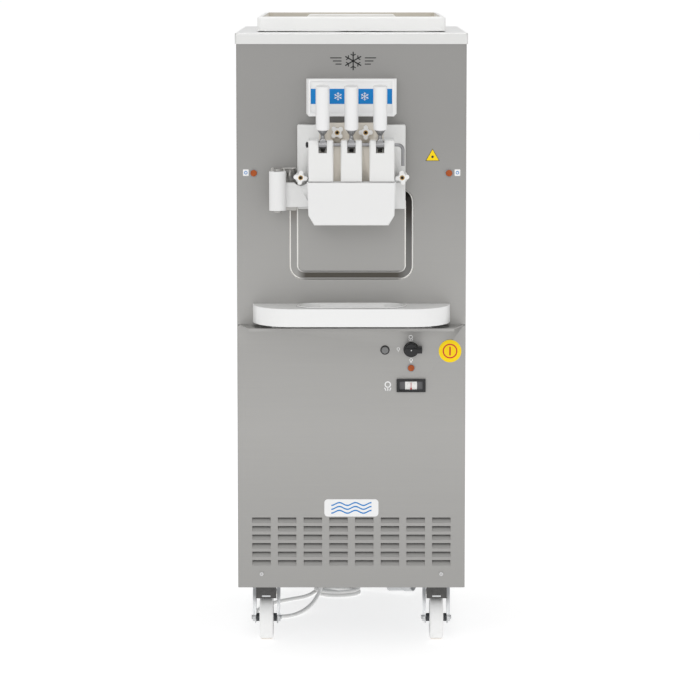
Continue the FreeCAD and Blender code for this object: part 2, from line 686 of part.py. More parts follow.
def piston(x):
    """Draw piston: closes its spout at rest, forked at the top for the lever's cross pin."""
    y = out(ROD_OUT) + PISTON_BACK
    pin_z = ROD_Z - PISTON_BACK * math.sin(math.radians(NOSE_DROP))
    body = rod_z(PISTON_R, x, y, HEAD_BOTTOM + 2, ROD_Z - 2)
    grooves = []
    for z in (HEAD_BOTTOM + 5, HEAD_BOTTOM + 42, HEAD_BOTTOM + 90):
        ring = cut(rod_z(PISTON_R + 1, x, y, z, z + 3), rod_z(PISTON_R - 1.6, x, y, z - 1, z + 4))
        grooves.append(ring)
    fork = box((x - 5, x + 5), (y - 20, y + 20), (1135, ROD_Z + 5))
    slot = box((x - 20, x + 20), (y - 8, y + 4.5), (pin_z - 3.7, pin_z + 3.7))
    return cut(body, grooves + [fork, slot])


def star_knob(x, z, seat, twist):
    """Four-lobed hand knob, bored right through for its stud."""
    y0, y1 = out(seat + 0.5 + KNOB_T), out(seat + 0.5)
    lobe_r = 5.2
    reach = KNOB_R - lobe_r
    core = rod_y(9.6, x, z, y0, y1)
    arms = []
    for k in range(4):
        a = math.radians(twist + 90 * k)
        cx, cz = x + reach * math.cos(a), z + reach * math.sin(a)
        arms.append(rod_y(lobe_r, cx, cz, y0, y1))
    body = fuse([core] + arms)
    for edge_y in (y0, y1):
        body = rounded(body, 1.2, lambda a, b: abs(a.y - edge_y) < 0.01 and abs(b.y - edge_y) < 0.01)
    return cut(body, rod_y(STUD_R + RUN, x, z, y0 - 1, y1 + 1))


def spout_guard():
    """Shroud round the spouts, open below and behind, with its ear and hinge barrel on the left."""
    z0, z1 = GUARD_BOTTOM, GUARD_LINE - 0.6
    half, nose = GUARD_HALF, out(GUARD_FRONT)

    def outline(inset, y, top):
        h, b = half - inset, z0 + inset
        return [
            V(-h, y, top), V(-h + 3, y, z0 + 22), V(-h + 16, y, b),
            V(h - 16, y, b), V(h - 3, y, z0 + 22), V(h, y, top),
        ]

    shell = prism(outline(0, nose, z1), V(0, GUARD_FRONT - GUARD_BACK, 0))
    shell = rounded(shell, 5, lambda a, b: abs(a.y - nose) < 0.01 and abs(b.y - nose) < 0.01)
    room = prism(outline(GUARD_WALL, nose + GUARD_WALL, z1 + 1), V(0, GUARD_FRONT, 0))
    below = box((-half + 16, half - 16), (out(GUARD_FRONT - 8), out(20)), (z0 - 5, z0 + 8))
    shell = cut(shell, [room, below])
    ear = front_box((HINGE_X, -half + 2), EAR_OUT, EAR_Z)
    barrel = rod_z(BARREL_R, HINGE_X, out(HINGE_OUT), *BARREL_Z)
    body = fuse([shell, ear, barrel])
    tools = [rod_z(5 + RUN, HINGE_X, out(HINGE_OUT), BARREL_Z[0] - 1, BARREL_Z[1] + 1)]
    for s in (-1, 1):
        tools.append(rod_y(KNOB_R + 3, s * LOWER_STUD[0], LOWER_STUD[1], out(GUARD_FRONT - 30), out(20)))
    return cut(body, tools)


def guard_bracket():
    """Hinge bracket on the front panel: plate, two lugs, hinge pin and a stop block."""
    z0, z1 = BARREL_Z[0] - 4.5, BARREL_Z[1] + 4.5
    plate = face_box((-182, -124), (z0, z1), (0.1, 4), 3)
    parts = [plate]
    for low in (z0, z1 - 4):
        parts.append(front_box((HINGE_X - 9, HINGE_X + 9), (3, HINGE_OUT), (low, low + 4)))
        parts.append(rod_z(9, HINGE_X, out(HINGE_OUT), low, low + 4))
    parts.append(rod_z(5, HINGE_X, out(HINGE_OUT), z0, z1))
    parts.append(front_box((-146, -129), (3, 48), (1076, 1098)))
    return fuse(parts)


# ---- drip shelf -----------------------------------------------------------------------------
def shelf_outline(inset, z):
    """D-shaped outline: straight back, short sides, quarter-ellipse corners, straight front."""
    half, reach = SHELF_HALF - inset, SHELF_REACH - inset
    back, side = 0.6 + inset, SHELF_SIDE + inset
    inner = SHELF_HALF - SHELF_CORNER

    def quarter(sign):
        centre = V(sign * inner, out(side), z)
        ellipse = Part.Ellipse(V(sign * inner, out(reach), z), V(sign * half, out(side), z), centre)
        return Part.ArcOfEllipse(ellipse, 0, math.pi / 2).toShape()

    corners = [V(-half, out(side), z), V(-half, out(back), z), V(half, out(back), z), V(half, out(side), z)]
    edges = [Part.LineSegment(a, b).toShape() for a, b in zip(corners, corners[1:])]
    edges.append(Part.LineSegment(V(-inner, out(reach), z), V(inner, out(reach), z)).toShape())
    edges += [quarter(-1), quarter(1)]
    return Part.Face(Part.Wire(Part.__sortEdges__(edges)))


def drip_shelf():
    """White moulded shelf, hollow below, with an oval hole for the bowl and two rest bars."""
    body = shelf_outline(0, SHELF_BOTTOM).extrude(V(0, 0, SHELF_TOP - SHELF_BOTTOM))
    hollow = shelf_outline(4, SHELF_BOTTOM - 1).extrude(V(0, 0, SHELF_TOP - SHELF_BOTTOM - 3.5))
    hole = stadium(BOWL_LENGTH - 8, BOWL_WIDTH - 8, BOWL_CENTRE, SHELF_BOTTOM - 2, SHELF_TOP + 2)
    shell = cut(body, [hollow, hole])
    bars = []
    for x in (-170, 170):
        bars.append(front_box((x - 10, x + 10), (4, 70), (LEDGE_Z + 0.3, SHELF_TOP - 3)))
    return fuse([shell] + bars)


def drip_bowl():
    """Oval drip bowl that drops into the shelf and hangs by its rim."""
    rim = stadium(BOWL_LENGTH, BOWL_WIDTH, BOWL_CENTRE, SHELF_TOP + 0.3, SHELF_TOP + 3)
    tub = stadium(BOWL_LENGTH - 10, BOWL_WIDTH - 10, BOWL_CENTRE, SHELF_TOP - 24, SHELF_TOP + 1)
    well = stadium(BOWL_LENGTH - 16, BOWL_WIDTH - 16, BOWL_CENTRE, SHELF_TOP - 21.5, SHELF_TOP + 4)
    bowl = cut(fuse([rim, tub]), well)
    return rounded(bowl, 1.2, lambda a, b: abs(a.z - SHELF_TOP - 3) < 0.01 and abs(b.z - SHELF_TOP - 3) < 0.01)


# ---- controls -------------------------------------------------------------------------------
def indicator_lenses():
    """Three round signal lamps: collar, domed lens and body through the panel."""
    lamps = []
    for x, z in LAMPS:
        collar = rod_y(9, x, z, out(1.8), out(0.05))
        lens = rod_y(7.4, x, z, out(4.5), out(1))
        lens = rounded(lens, 2, lambda a, b: abs(a.y - out(4.5)) < 0.01 and abs(b.y - out(4.5)) < 0.01)
        lamps.append(fuse([collar, lens, rod_y(6.8, x, z, out(1), deep(18))]))
    return Part.makeCompound(lamps)


def selector_knob():
    """Rotary selector with a pointer wing, turned to the right at rest."""
    x, z = SELECTOR
    disc = rod_y(15, x, z, out(17), out(1.5))
    disc = rounded(disc, 2, lambda a, b: abs(a.y - out(17)) < 0.01 and abs(b.y - out(17)) < 0.01)
    wing = front_box((x, x + 25), (1.5, 15), (z - 7.5, z + 7.5))
    wing = rounded(wing, 2, lambda a, b: along_y(a, b) and a.x > x + 20)
    ridge = front_box((x - 13, x + 22), (14, 20), (z - 4, z + 4))
    shaft = rod_y(3.8, x, z, out(2), deep(6))
    return fuse([disc, wing, ridge, shaft])


def reset_button():
    """Spring-return push button."""
    x, z = BUTTON
    cap = rod_y(8, x, z, out(5), deep(4))
    cap = rounded(cap, 1.5, lambda a, b: abs(a.y - out(5)) < 0.01 and abs(b.y - out(5)) < 0.01)
    return fuse([cap, rod_y(3.5, x, z, deep(3), deep(16))])


def meter_housing():
    """Panel meter: flat frame, recessed scale pocket and body behind the panel."""
    x, z = METER
    frame = face_box((x - 33, x + 33), (z - 15, z + 15), (0.05, 6), 1.5)
    body = deep_box((x - 26.5, x + 26.5), (-1, 42), (z - 10, z + 10))
    pocket = front_box((x - 26.5, x + 26.5), (2.5, 8), (z - 9.5, z + 9.5))
    return cut(fuse([frame, body]), pocket)


def meter_needle():
    """Pointer of the panel meter on its spindle."""
    x, z = METER[0], METER[1] - 7
    blade = front_box((x - 0.5, x + 0.5), (3.4, 4.2), (z, z + 14))
    return fuse([rod_y(2, x, z, out(4.4), out(3.1)), blade])


def control_box():
    """Electrical box behind the controls, with the selector's and button's contact blocks."""
    shell = rounded(deep_box((45, 235), (50, 130), (560, 735)), 4, along_y)
    blocks = [
        deep_box((SELECTOR[0] - 20, SELECTOR[0] + 20), (7, 51), (SELECTOR[1] - 20, SELECTOR[1] + 20)),
        deep_box((BUTTON[0] - 9, BUTTON[0] + 9), (21, 51), (BUTTON[1] - 9, BUTTON[1] + 9)),
    ]
    return fuse([shell] + blocks)


# ---- fasteners ------------------------------------------------------------------------------
SCREW_R = 2.5
SCREW_HEAD = 4.5
SCREW_LENGTH = 12.0
SCREWS = [(-206.0, 168.5, 0.0, "front"), (206.0, 168.5, 0.0, "front")]
SCREWS += [(x, z, CAB_D, "rear") for x in (-245.0, 245.0) for z in (160.0, 770.0, 1370.0)]
SCREWS += [(d, z, 0.0, side) for side in ("left", "right") for d in (60.0, 680.0) for z in (160.0, 1360.0)]


def screw_axis(screw):
    """Where a panel screw sits and which way it points into the cabinet."""
    a, z, d, face = screw
    if face == "front":
        return V(a, deep(0), z), V(0, 1, 0)
    if face == "rear":
        return V(a, deep(d), z), V(0, -1, 0)
    sign = -1 if face == "left" else 1
    return V(sign * CAB_W / 2, deep(a), z), V(-sign, 0, 0)


def screw_hole(screw):
    """Clearance hole through panel and frame; side and rear holes are countersunk."""
    place, inward = screw_axis(screw)
    hole = Part.makeCylinder(SCREW_R + RUN, SCREW_LENGTH + 3, place - inward, inward)
    if screw[3] == "front":
        return hole
    return fuse([hole, Part.makeCone(SCREW_HEAD + 0.1, SCREW_R + RUN + 0.02, SHEET, place, inward)])


def panel_screws():
    """Panel screws with a socket: pan heads on the front, flush countersunk heads elsewhere."""
    solids = []
    for screw in SCREWS:
        place, inward = screw_axis(screw)
        rise = 2.4 if screw[3] == "front" else 0.0
        if rise:
            head = Part.makeCylinder(SCREW_HEAD, rise, place - inward * rise, inward)
        else:
            head = Part.makeCone(SCREW_HEAD, SCREW_R, SHEET, place, inward)
        shank = Part.makeCylinder(SCREW_R, SCREW_LENGTH + rise / 2, place - inward * (rise / 2), inward)
        socket = Part.makeCylinder(1.5, 1.2, place - inward * (rise + 0.1), inward)
        solids.append(cut(fuse([head, shank]), socket))
    return Part.makeCompound(solids)


# ---- refrigeration --------------------------------------------------------------------------
def compressor():
    """Hermetic compressor on its foot plate."""
    x, y = -125.0, deep(430)
    can = fuse([rod_z(82, x, y, 200, 330), Part.makeSphere(82, V(x, y, 330), V(0, 0, 1), 0, 90, 360)])
    dome = box((x - 100, x + 100), (y - 100, y + 100), (380, 420))
    foot = deep_box((x - 90, x + 90), (345, 515), (155, 161))
    grommets = [rod_z(12, x + sx * 72, y + sy * 68, BASE_Z + 3, 155) for sx in (-1, 1) for sy in (-1, 1)]
    skirt = cone_z(60, 82, x, y, 161, 200)
    terminal = deep_box((x + 70, x + 104), (405, 455), (240, 300))
    return fuse([cut(can, dome), foot, skirt, terminal] + grommets)


def condenser_and_lines():
    """Finned condenser behind the front louvres, and the copper lines from the compressor."""
    x = (-60.0, 215.0)
    fins = [deep_box((x[0] + 11 * k, x[0] + 11 * k + 1.5), (50, 98), (162, 342)) for k in range(26)]
    rows = [rod_x(5, deep(d), z, x[0] - 6, x[1] + 6) for d in (62, 86) for z in range(180, 340, 36)]
    return Part.makeCompound([fuse(fins + rows)] + refrigerant_lines())


def fan_motor():
    """Fan shroud plate, its struts and the motor."""
    x, z = FAN
    plate = deep_box((x - 95, x + 95), (104, 106), (z - 92, z + 92))
    plate = cut(plate, rod_y(84, x, z, deep(100), deep(110)))
    collar = cut(rod_y(88, x, z, deep(105), deep(130)), rod_y(84, x, z, deep(100), deep(135)))
    motor = rod_y(32, x, z, deep(142), deep(190))
    struts = []
    for k in range(3):
        arm = deep_box((x - 4, x + 4), (142, 146), (z + 20, z + 90))
        post = deep_box((x - 4, x + 4), (105, 146), (z + 85, z + 90))
        struts += [turned(s, V(x, 0, z), V(0, 1, 0), 120 * k) for s in (arm, post)]
    return cut(fuse([plate, collar, motor] + struts), rod_y(3.2, x, z, deep(140), deep(160)))


def fan_blade():
    """Five-bladed condenser fan on its stub shaft."""
    x, z = FAN
    hub = rod_y(20, x, z, deep(112), deep(136))
    parts = [hub, rod_y(3, x, z, deep(135), deep(156))]
    for k in range(5):
        blade = box((x - 16, x + 16), (deep(123), deep(125)), (z + 17, z + 80))
        blade = turned(blade, V(x, deep(124), z), V(0, 0, 1), 24)
        parts.append(turned(blade, V(x, 0, z), V(0, 1, 0), 72 * k))
    return fuse(parts)


def refrigerant_lines():
    """Copper discharge, liquid and suction lines."""
    x, y = -125.0, deep(430)
    runs = [
        [V(x, y, 380), V(x, y, 470), V(x, deep(180), 470), V(-90, deep(74), 450), V(-74, deep(74), 360),
         V(-60, deep(74), 300)],
        [V(x - 35, y + 30, 380), V(x - 35, y + 30, 700), V(-185, y - 60, 800), V(-185, deep(240), 1100),
         V(-170, deep(240), CYL_Z), V(-112, deep(240), CYL_Z)],
        [V(x + 35, y + 30, 380), V(x + 35, y + 30, 640), V(60, y + 30, 800), V(185, deep(300), 900),
         V(185, deep(240), 1100), V(170, deep(240), CYL_Z), V(112, deep(240), CYL_Z)],
    ]
    return [pipe(points, 5, 0.3)[0] for points in runs]


# ---- casters --------------------------------------------------------------------------------
def wheel(x, y):
    """Nylon wheel with a rounded tread and a raised hub."""
    tread = rod_x(WHEEL_R, y, WHEEL_R, x - WHEEL_HALF, x + WHEEL_HALF)
    tread = rounded(tread, 5, lambda a, b: abs(a.x - b.x) < 0.01 and abs(a.y - b.y) < 0.01
                    and (a - V(a.x, y, WHEEL_R)).Length > WHEEL_R - 1)
    webs = []
    for side in (-1, 1):
        face = x + side * WHEEL_HALF
        low, high = sorted((face, face - side * 5))
        webs.append(cut(rod_x(38, y, WHEEL_R, low - 0.01, high), rod_x(15, y, WHEEL_R, low - 1, high + 1)))
    hub = rod_x(9.5, y, WHEEL_R, x - FORK_IN + 0.5, x + FORK_IN - 0.5)
    return cut(fuse([cut(tread, webs), hub]), rod_x(5 + RUN, y, WHEEL_R, x - 30, x + 30))


def fork(x, swivel_y, axle_y):
    """Pressed caster fork with its swivel crown, axle bolt and nuts."""
    leg_in, leg_t = FORK_IN, 3.0
    toward = -1 if axle_y < swivel_y else 1
    parts = [rod_z(26, x, swivel_y, 118, 126)]
    for side in (-1, 1):
        low, high = sorted((x + side * leg_in, x + side * (leg_in + leg_t)))
        outline = [
            V(low, swivel_y - toward * 24, 124), V(low, swivel_y + toward * 26, 124),
            V(low, axle_y + toward * 13, WHEEL_R + 8), V(low, axle_y + toward * 9, WHEEL_R - 12),
            V(low, axle_y - toward * 9, WHEEL_R - 12), V(low, swivel_y - toward * 24, 108),
        ]
        parts.append(prism(outline, V(high - low, 0, 0)))
        skirt = [V(low, p.y - toward * shift, p.z) for p, shift in
                 ((outline[1], 0), (outline[2], 0), (outline[2], 2.2), (outline[1], 2.2))]
        reach = V(side * 5 + (high - low) * side, 0, 0)
        parts.append(prism([p if side > 0 else p + V(high - low, 0, 0) for p in skirt], reach))
        face = x + side * (leg_in + leg_t)
        parts.append(rod_x(9.5, axle_y, WHEEL_R, *sorted((face, face + side * 5))))
        parts.append(rod_x(5, axle_y, WHEEL_R, *sorted((face, face + side * 8))))
    y = sorted((swivel_y - toward * 24, swivel_y + toward * 26))
    parts.append(box((x - leg_in - leg_t, x + leg_in + leg_t), tuple(y), (121, 124)))
    parts.append(rod_x(5, axle_y, WHEEL_R, x - leg_in - 2, x + leg_in + 2))
    return cut(fuse(parts), rod_z(6 + RUN, x, swivel_y, 110, 130))


def caster_plate(x, y, gap):
    """Top plate with four bolt heads; gap is the clearance left over the swivel crown."""
    plate = rounded_box((x - 42, x + 42), (y - 42, y + 42), (BASE_Z - 4, BASE_Z), 6)
    race = rod_z(24, x, y, 126 + gap, BASE_Z - 3)
    bolts = [rod_z(5, x + sx * 33, y + sy * 33, BASE_Z - 7, BASE_Z - 3) for sx in (-1, 1) for sy in (-1, 1)]
    pin = rod_z(6, x, y, 119, BASE_Z - 3)
    return fuse([plate, race, pin] + bolts)


def caster_swivel_plates():
    """Top plates of the two front swivel casters."""
    return Part.makeCompound([caster_plate(s * CASTER_X, deep(FRONT_SWIVEL), 0.3) for s in (-1, 1)])


def rear_caster_forks():
    """The two fixed rear casters: fork and top plate in one welded piece each."""
    pieces = []
    for s in (-1, 1):
        x, y = s * CASTER_X, deep(REAR_AXLE)
        pieces.append(fuse([fork(x, y, y + 0.01), caster_plate(x, y, -1)]))
    return Part.makeCompound(pieces)


def brake_pedal(x):
    """Foot pedal of a braked front caster, hinged on a cross pin between the fork legs."""
    y = deep(FRONT_SWIVEL - CASTER_TRAIL)
    pin_y, pin_z, half = y + 6, 113.0, FORK_IN - 0.5
    pin = rod_x(3, pin_y, pin_z, x - half, x + half)
    web = box((x - half, x + half), (pin_y - 16, pin_y + 1), (111, 115))
    pad = box((x - half, x + half), (pin_y - 42, pin_y - 14), (109, 115))
    pad = rounded(pad, 2.5, lambda a, b: abs(a.y - b.y) < 0.01 and abs(a.z - b.z) < 0.01)
    face = box((x - half, x + half), (pin_y - 43, pin_y - 38), (101, 132))
    return fuse([pin, web, pad, rounded(face, 1.5, lambda a, b: abs(a.z - b.z) < 0.01 and abs(a.y - b.y) < 0.01)])


# ---- mains lead -----------------------------------------------------------------------------
EXIT = V(-70, deep(450), 96)
COIL = V(-35, deep(640), 0)
COIL_MEAN = 50.0             # mean radius of the turns
COIL_HALF = 9.6              # two turns side by side
COIL_TALL = 18.6             # and two on each other
OUTER_TURN = COIL_MEAN + 4.8
LAY_Z = CORD_R + 0.3         # centreline of a lead that lies on the floor
RUN_OUT = 33.0               # straight stretch where the lead leaves the ring


def coil_tangent(angle, ahead, z):
    """A point on the tangent at that angle, ahead mm past it; seen from above the turns run clockwise."""
    a = math.radians(angle)
    touch = COIL + V(math.cos(a), math.sin(a), 0) * OUTER_TURN
    return touch + V(math.sin(a), -math.cos(a), 0) * ahead + V(0, 0, z)


LEAD_ROUTE = [
    EXIT,
    V(-70, deep(450), 64),
    V(-80, deep(436), 36),
    V(-97, deep(410), 16),
    V(-120, deep(372), 6),
    V(-144, deep(333), LAY_Z),
    V(-171, deep(320), LAY_Z),
    V(-201, deep(324), LAY_Z),
    V(-223, deep(344), LAY_Z),
    V(-231, deep(373), LAY_Z),
    V(-224, deep(417), LAY_Z),
    V(-207, deep(464), LAY_Z),
    V(-182, deep(507), LAY_Z),
    V(-151, deep(540), LAY_Z),
    V(-120, deep(567), LAY_Z),
    coil_tangent(165, -RUN_OUT - 28, LAY_Z),
    coil_tangent(165, -RUN_OUT, LAY_Z),
]
TAIL_ROUTE = [
    coil_tangent(80, RUN_OUT, COIL_TALL - LAY_Z),
    V(31, deep(683), 15),
    V(54, deep(675), 18),
    V(75, deep(664), 20.4),
]


def cord_gland():
    """Cable gland under the base pan with its tapered strain relief."""
    x, y = EXIT.x, EXIT.y
    nut = Part.Face(Part.makePolygon([
        V(x + 15 * math.cos(math.radians(60 * k)), y + 15 * math.sin(math.radians(60 * k)), 129) for k in range(7)
    ])).extrude(V(0, 0, 10))
    return fuse([nut, cone_z(6.5, 11, x, y, EXIT.z, 129)])


def mains_cord():
    """The free stretch of the lead and its short tail, each meeting the coil face to face."""
    solids = []
    for name, route in (("lead", LEAD_ROUTE), ("tail", TAIL_ROUTE)):
        solid, length, radii, share = pipe(route, CORD_R)
        print(name, "length", round(length), "radii", [round(r) for r in radii], "volume", round(share, 4))
        solids.append(solid)
    return Part.makeCompound(solids)


def cord_coil():
    """Outer shape of the wound-up part of the lead, with its two straight run-outs."""
    ring = rod_z(COIL_MEAN + COIL_HALF, COIL.x, COIL.y, 0, COIL_TALL)
    ring = cut(ring, rod_z(COIL_MEAN - COIL_HALF, COIL.x, COIL.y, -1, COIL_TALL + 1))
    ends = []
    for angle, ahead, z in ((165, -RUN_OUT, LAY_Z), (80, RUN_OUT, COIL_TALL - LAY_Z)):
        touch, end = coil_tangent(angle, 0, z), coil_tangent(angle, ahead, z)
        ends.append(Part.makeCylinder(CORD_R, RUN_OUT, end, touch - end))
    return fuse([ring] + ends)


def mains_plug():
    """Round industrial plug lying beside the coil."""
    end = TAIL_ROUTE[-1]
    run = end - TAIL_ROUTE[-2]
    run.normalize()
    sleeve = Part.makeCone(7, 11, 22, end, run)
    body = Part.makeCylinder(18, 44, end + run * 22, run)
    collar = Part.makeCylinder(19.8, 22, end + run * 66, run)
    room = Part.makeCylinder(16.5, 20, end + run * 70, run)
    pins = []
    side = V(0, 0, 1).cross(run)
    for k in range(3):
        a = math.radians(90 + 120 * k)
        offset = side * (9 * math.cos(a)) + V(0, 0, 1) * (9 * math.sin(a))
        pins.append(Part.makeCylinder(2.5, 17, end + run * 69 + offset, run))
    return fuse([sleeve, body, cut(collar, room)] + pins)


# ---- assembly -------------------------------------------------------------------------------
def build():
    parts = {
        "chassis_frame": chassis_frame(),
        "front_panel_upper": front_panel_upper(),
        "front_panel_lower": front_panel_lower(),
        "side_panel_left": side_panel(-1),
        "side_panel_right": side_panel(1),
        "rear_panel": rear_panel(),
        "top_cover": top_cover(),
        "mix_hoppers": mix_hoppers(),
        "feed_tubes": feed_tubes(),
        "hopper_lid": hopper_lid(),
        "header_box": header_box(),
        "freezing_cylinders": freezing_cylinders(),
        "gearmotors": gearmotors(),
        "head_body": head_body(),
        "spout_nozzles": spout_nozzles(),
        "pivot_pin": pivot_pin(),
        "spout_guard": spout_guard(),
        "guard_bracket": guard_bracket(),
        "drip_shelf": drip_shelf(),
        "drip_bowl": drip_bowl(),
        "indicator_lenses": indicator_lenses(),
        "selector_knob": selector_knob(),
        "reset_button": reset_button(),
        "meter_housing": meter_housing(),
        "meter_needle": meter_needle(),
        "control_box": control_box(),
        "panel_screws": panel_screws(),
        "compressor": compressor(),
        "condenser_and_lines": condenser_and_lines(),
        "fan_motor": fan_motor(),
        "fan_blade": fan_blade(),
        "caster_swivel_plates": caster_swivel_plates(),
        "rear_caster_forks": rear_caster_forks(),
        "cord_gland": cord_gland(),
        "mains_cord": mains_cord(),
        "cord_coil": cord_coil(),
        "mains_plug": mains_plug(),
    }
    for side in ("left", "right"):
        parts["beater_" + side] = beater(side)
    for name, x in LEVER_X.items():
        parts["lever_arm_" + name] = lever_arm(x)
        parts["lever_grip_" + name] = lever_grip(x)
        parts["piston_" + name] = piston(x)
    twists = {"upper_left": 42, "upper_right": 0, "lower_left": 82, "lower_right": 8}
    for name, (x, z, seat) in STUDS.items():
        parts["star_knob_" + name] = star_knob(x, z, seat, twists[name])
    swivel, axle = deep(FRONT_SWIVEL), deep(FRONT_SWIVEL - CASTER_TRAIL)
    for name, sign in (("left", -1), ("right", 1)):
        x = sign * CASTER_X
        parts["front_caster_fork_" + name] = fork(x, swivel, axle)
        parts["front_caster_wheel_" + name] = wheel(x, axle)
        parts["rear_caster_wheel_" + name] = wheel(x, deep(REAR_AXLE))
        parts["brake_pedal_" + name] = brake_pedal(x)
    return parts


def save(parts):
    os.makedirs("parts", exist_ok=True)
    for name, shape in sorted(parts.items()):
        if not shape.isValid():
            print("invalid shape:", name)
        shape.exportStep(f"parts/{name}.step")
    print(len(parts), "sub-parts")


save(build())
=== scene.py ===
"""Looks of the floor-standing soft serve machine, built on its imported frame.

Meshes are in metres. Places on the front are given in millimetres, through at().
"""

import json
import math

import bmesh
import bpy
from mathutils import Matrix, Vector


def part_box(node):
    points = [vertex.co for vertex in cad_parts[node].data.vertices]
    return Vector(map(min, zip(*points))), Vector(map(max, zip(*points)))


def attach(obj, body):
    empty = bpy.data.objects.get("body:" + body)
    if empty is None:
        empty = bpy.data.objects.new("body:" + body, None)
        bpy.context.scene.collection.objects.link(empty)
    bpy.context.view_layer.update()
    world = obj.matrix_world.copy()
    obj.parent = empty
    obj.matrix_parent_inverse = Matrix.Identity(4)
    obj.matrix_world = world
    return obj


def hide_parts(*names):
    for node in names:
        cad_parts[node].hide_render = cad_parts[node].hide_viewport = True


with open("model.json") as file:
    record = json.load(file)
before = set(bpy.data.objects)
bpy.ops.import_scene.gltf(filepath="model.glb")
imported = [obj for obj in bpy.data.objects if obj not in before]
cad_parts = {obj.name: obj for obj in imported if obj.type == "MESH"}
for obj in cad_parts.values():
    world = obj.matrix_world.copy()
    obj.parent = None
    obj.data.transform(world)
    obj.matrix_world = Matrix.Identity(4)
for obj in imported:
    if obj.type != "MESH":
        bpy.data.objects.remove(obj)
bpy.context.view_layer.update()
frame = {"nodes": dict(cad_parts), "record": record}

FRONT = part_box("front_panel_upper")[0].y      # the front panels' outer face
MM = 0.001
FILM = 0.0003                                 # thickness of a printed label
INK = 0.0002                                  # thickness of a print on a label or a panel
ON_PANEL = 0.05                               # labels start this many mm in front of their panel
CORNERS = ("upper_left", "upper_right", "lower_left", "lower_right")


def at(x, out, z):
    """A point given in millimetres: across, in front of the front panel, above the floor."""
    return Vector((x * MM, FRONT - out * MM, z * MM))


def upright(bm):
    """Turns a flat shape made on the floor to face -Y."""
    bmesh.ops.transform(bm, matrix=Matrix.Rotation(math.radians(90), 4, "X"), verts=bm.verts)


def pointing(degrees):
    """The unit vector in a front view that leans that far clockwise from straight up."""
    return Vector((math.sin(math.radians(degrees)), 0, math.cos(math.radians(degrees))))


# ---- finishes -------------------------------------------------------------------------------
class Signal:
    """A shader socket's value; arithmetic on it adds Math nodes."""

    def __init__(self, finish, socket):
        self.finish = finish
        self.socket = socket

    def math(self, operation, *values):
        return self.finish.add("ShaderNodeMath", {"operation": operation}, dict(enumerate(values)))

    def __add__(self, other):
        return self.math("ADD", self, other)

    def __radd__(self, other):
        return self.math("ADD", other, self)

    def __sub__(self, other):
        return self.math("SUBTRACT", self, other)

    def __rsub__(self, other):
        return self.math("SUBTRACT", other, self)

    def __mul__(self, other):
        return self.math("MULTIPLY", self, other)

    def __rmul__(self, other):
        return self.math("MULTIPLY", other, self)

    def __gt__(self, other):
        return self.math("GREATER_THAN", self, other)

    def __lt__(self, other):
        return self.math("LESS_THAN", self, other)

    def absolute(self):
        return self.math("ABSOLUTE", self)

    def sine(self):
        return self.math("SINE", self)

    def root(self):
        return self.math("SQRT", self)

    def at_least(self, other):
        return self.math("MAXIMUM", self, other)

    def at_most(self, other):
        return self.math("MINIMUM", self, other)


class Finish:
    """One node material: a Principled shader and the patterns that feed it."""

    def __init__(self, name, roughness=0.5, metallic=0.0, **fixed):
        self.material = bpy.data.materials.new(name)
        self.material.use_nodes = True
        self.nodes = self.material.node_tree.nodes
        self.links = self.material.node_tree.links
        self.shader = self.nodes["Principled BSDF"]
        self.shader.inputs["Roughness"].default_value = roughness
        self.shader.inputs["Metallic"].default_value = metallic
        for socket, value in fixed.items():
            self.shader.inputs[socket.replace("_", " ")].default_value = value

    def add(self, kind, settings, inputs, output=0):
        """A node of that kind: settings first, then values or links into its sockets."""
        node = self.nodes.new(kind)
        for key, value in settings.items():
            setattr(node, key, value)
        for key, value in inputs.items():
            if isinstance(value, Signal):
                self.links.new(value.socket, node.inputs[key])
            else:
                node.inputs[key].default_value = value
        return Signal(self, node.outputs[output])

    def place(self, scale=(1, 1, 1), centre=(0, 0, 0)):
        """Object coordinates in metres, moved to centre and then stretched."""
        here = self.add("ShaderNodeTexCoord", {}, {}, "Object")
        moved = self.add("ShaderNodeVectorMath", {"operation": "SUBTRACT"}, {0: here, 1: centre})
        return self.add("ShaderNodeVectorMath", {"operation": "MULTIPLY"}, {0: moved, 1: scale})

    def axes(self, centre=(0, 0, 0)):
        """The three object coordinates as separate signals."""
        split = self.nodes.new("ShaderNodeSeparateXYZ")
        self.links.new(self.place(centre=centre).socket, split.inputs[0])
        return [Signal(self, output) for output in split.outputs]

    def noise(self, scale, detail=3.0, rough=0.55):
        """Noise whose grains are 1 / scale metres long on each axis."""
        inputs = {"Vector": self.place(scale), "Scale": 1.0, "Detail": detail, "Roughness": rough}
        return self.add("ShaderNodeTexNoise", {}, inputs, "Fac")

    def mix(self, factor, first, second):
        """The first colour at factor 0 and the second at 1."""
        inputs = {"Factor": factor, 6: first, 7: second}
        return self.add("ShaderNodeMix", {"data_type": "RGBA"}, inputs, 2)

    def ramp(self, value, stops):
        """Greys or colours between stops given as (position, colour)."""
        signal = self.add("ShaderNodeValToRGB", {}, {"Fac": value})
        elements = signal.socket.node.color_ramp.elements
        while len(elements) < len(stops):
            elements.new(1.0)
        for element, (position, tone) in zip(elements, stops):
            element.position = position
            element.color = tone
        return signal

    def colour(self, value):
        self.feed("Base Color", value)

    def feed(self, socket, value):
        """Links a signal to one of the shader's sockets."""
        self.links.new(value.socket, self.shader.inputs[socket])

    def bump(self, height, distance, strength):
        """Relief of that height signal, distance metres deep."""
        inputs = {"Height": height, "Distance": distance, "Strength": strength}
        self.feed("Normal", self.add("ShaderNodeBump", {}, inputs))


def rgb(r, g, b):
    return (r, g, b, 1.0)


WHITE = rgb(0.76, 0.76, 0.75)


def shade(colour, factor):
    """The colour made lighter or darker."""
    return tuple(min(1.0, c * factor) for c in colour[:3]) + (1.0,)


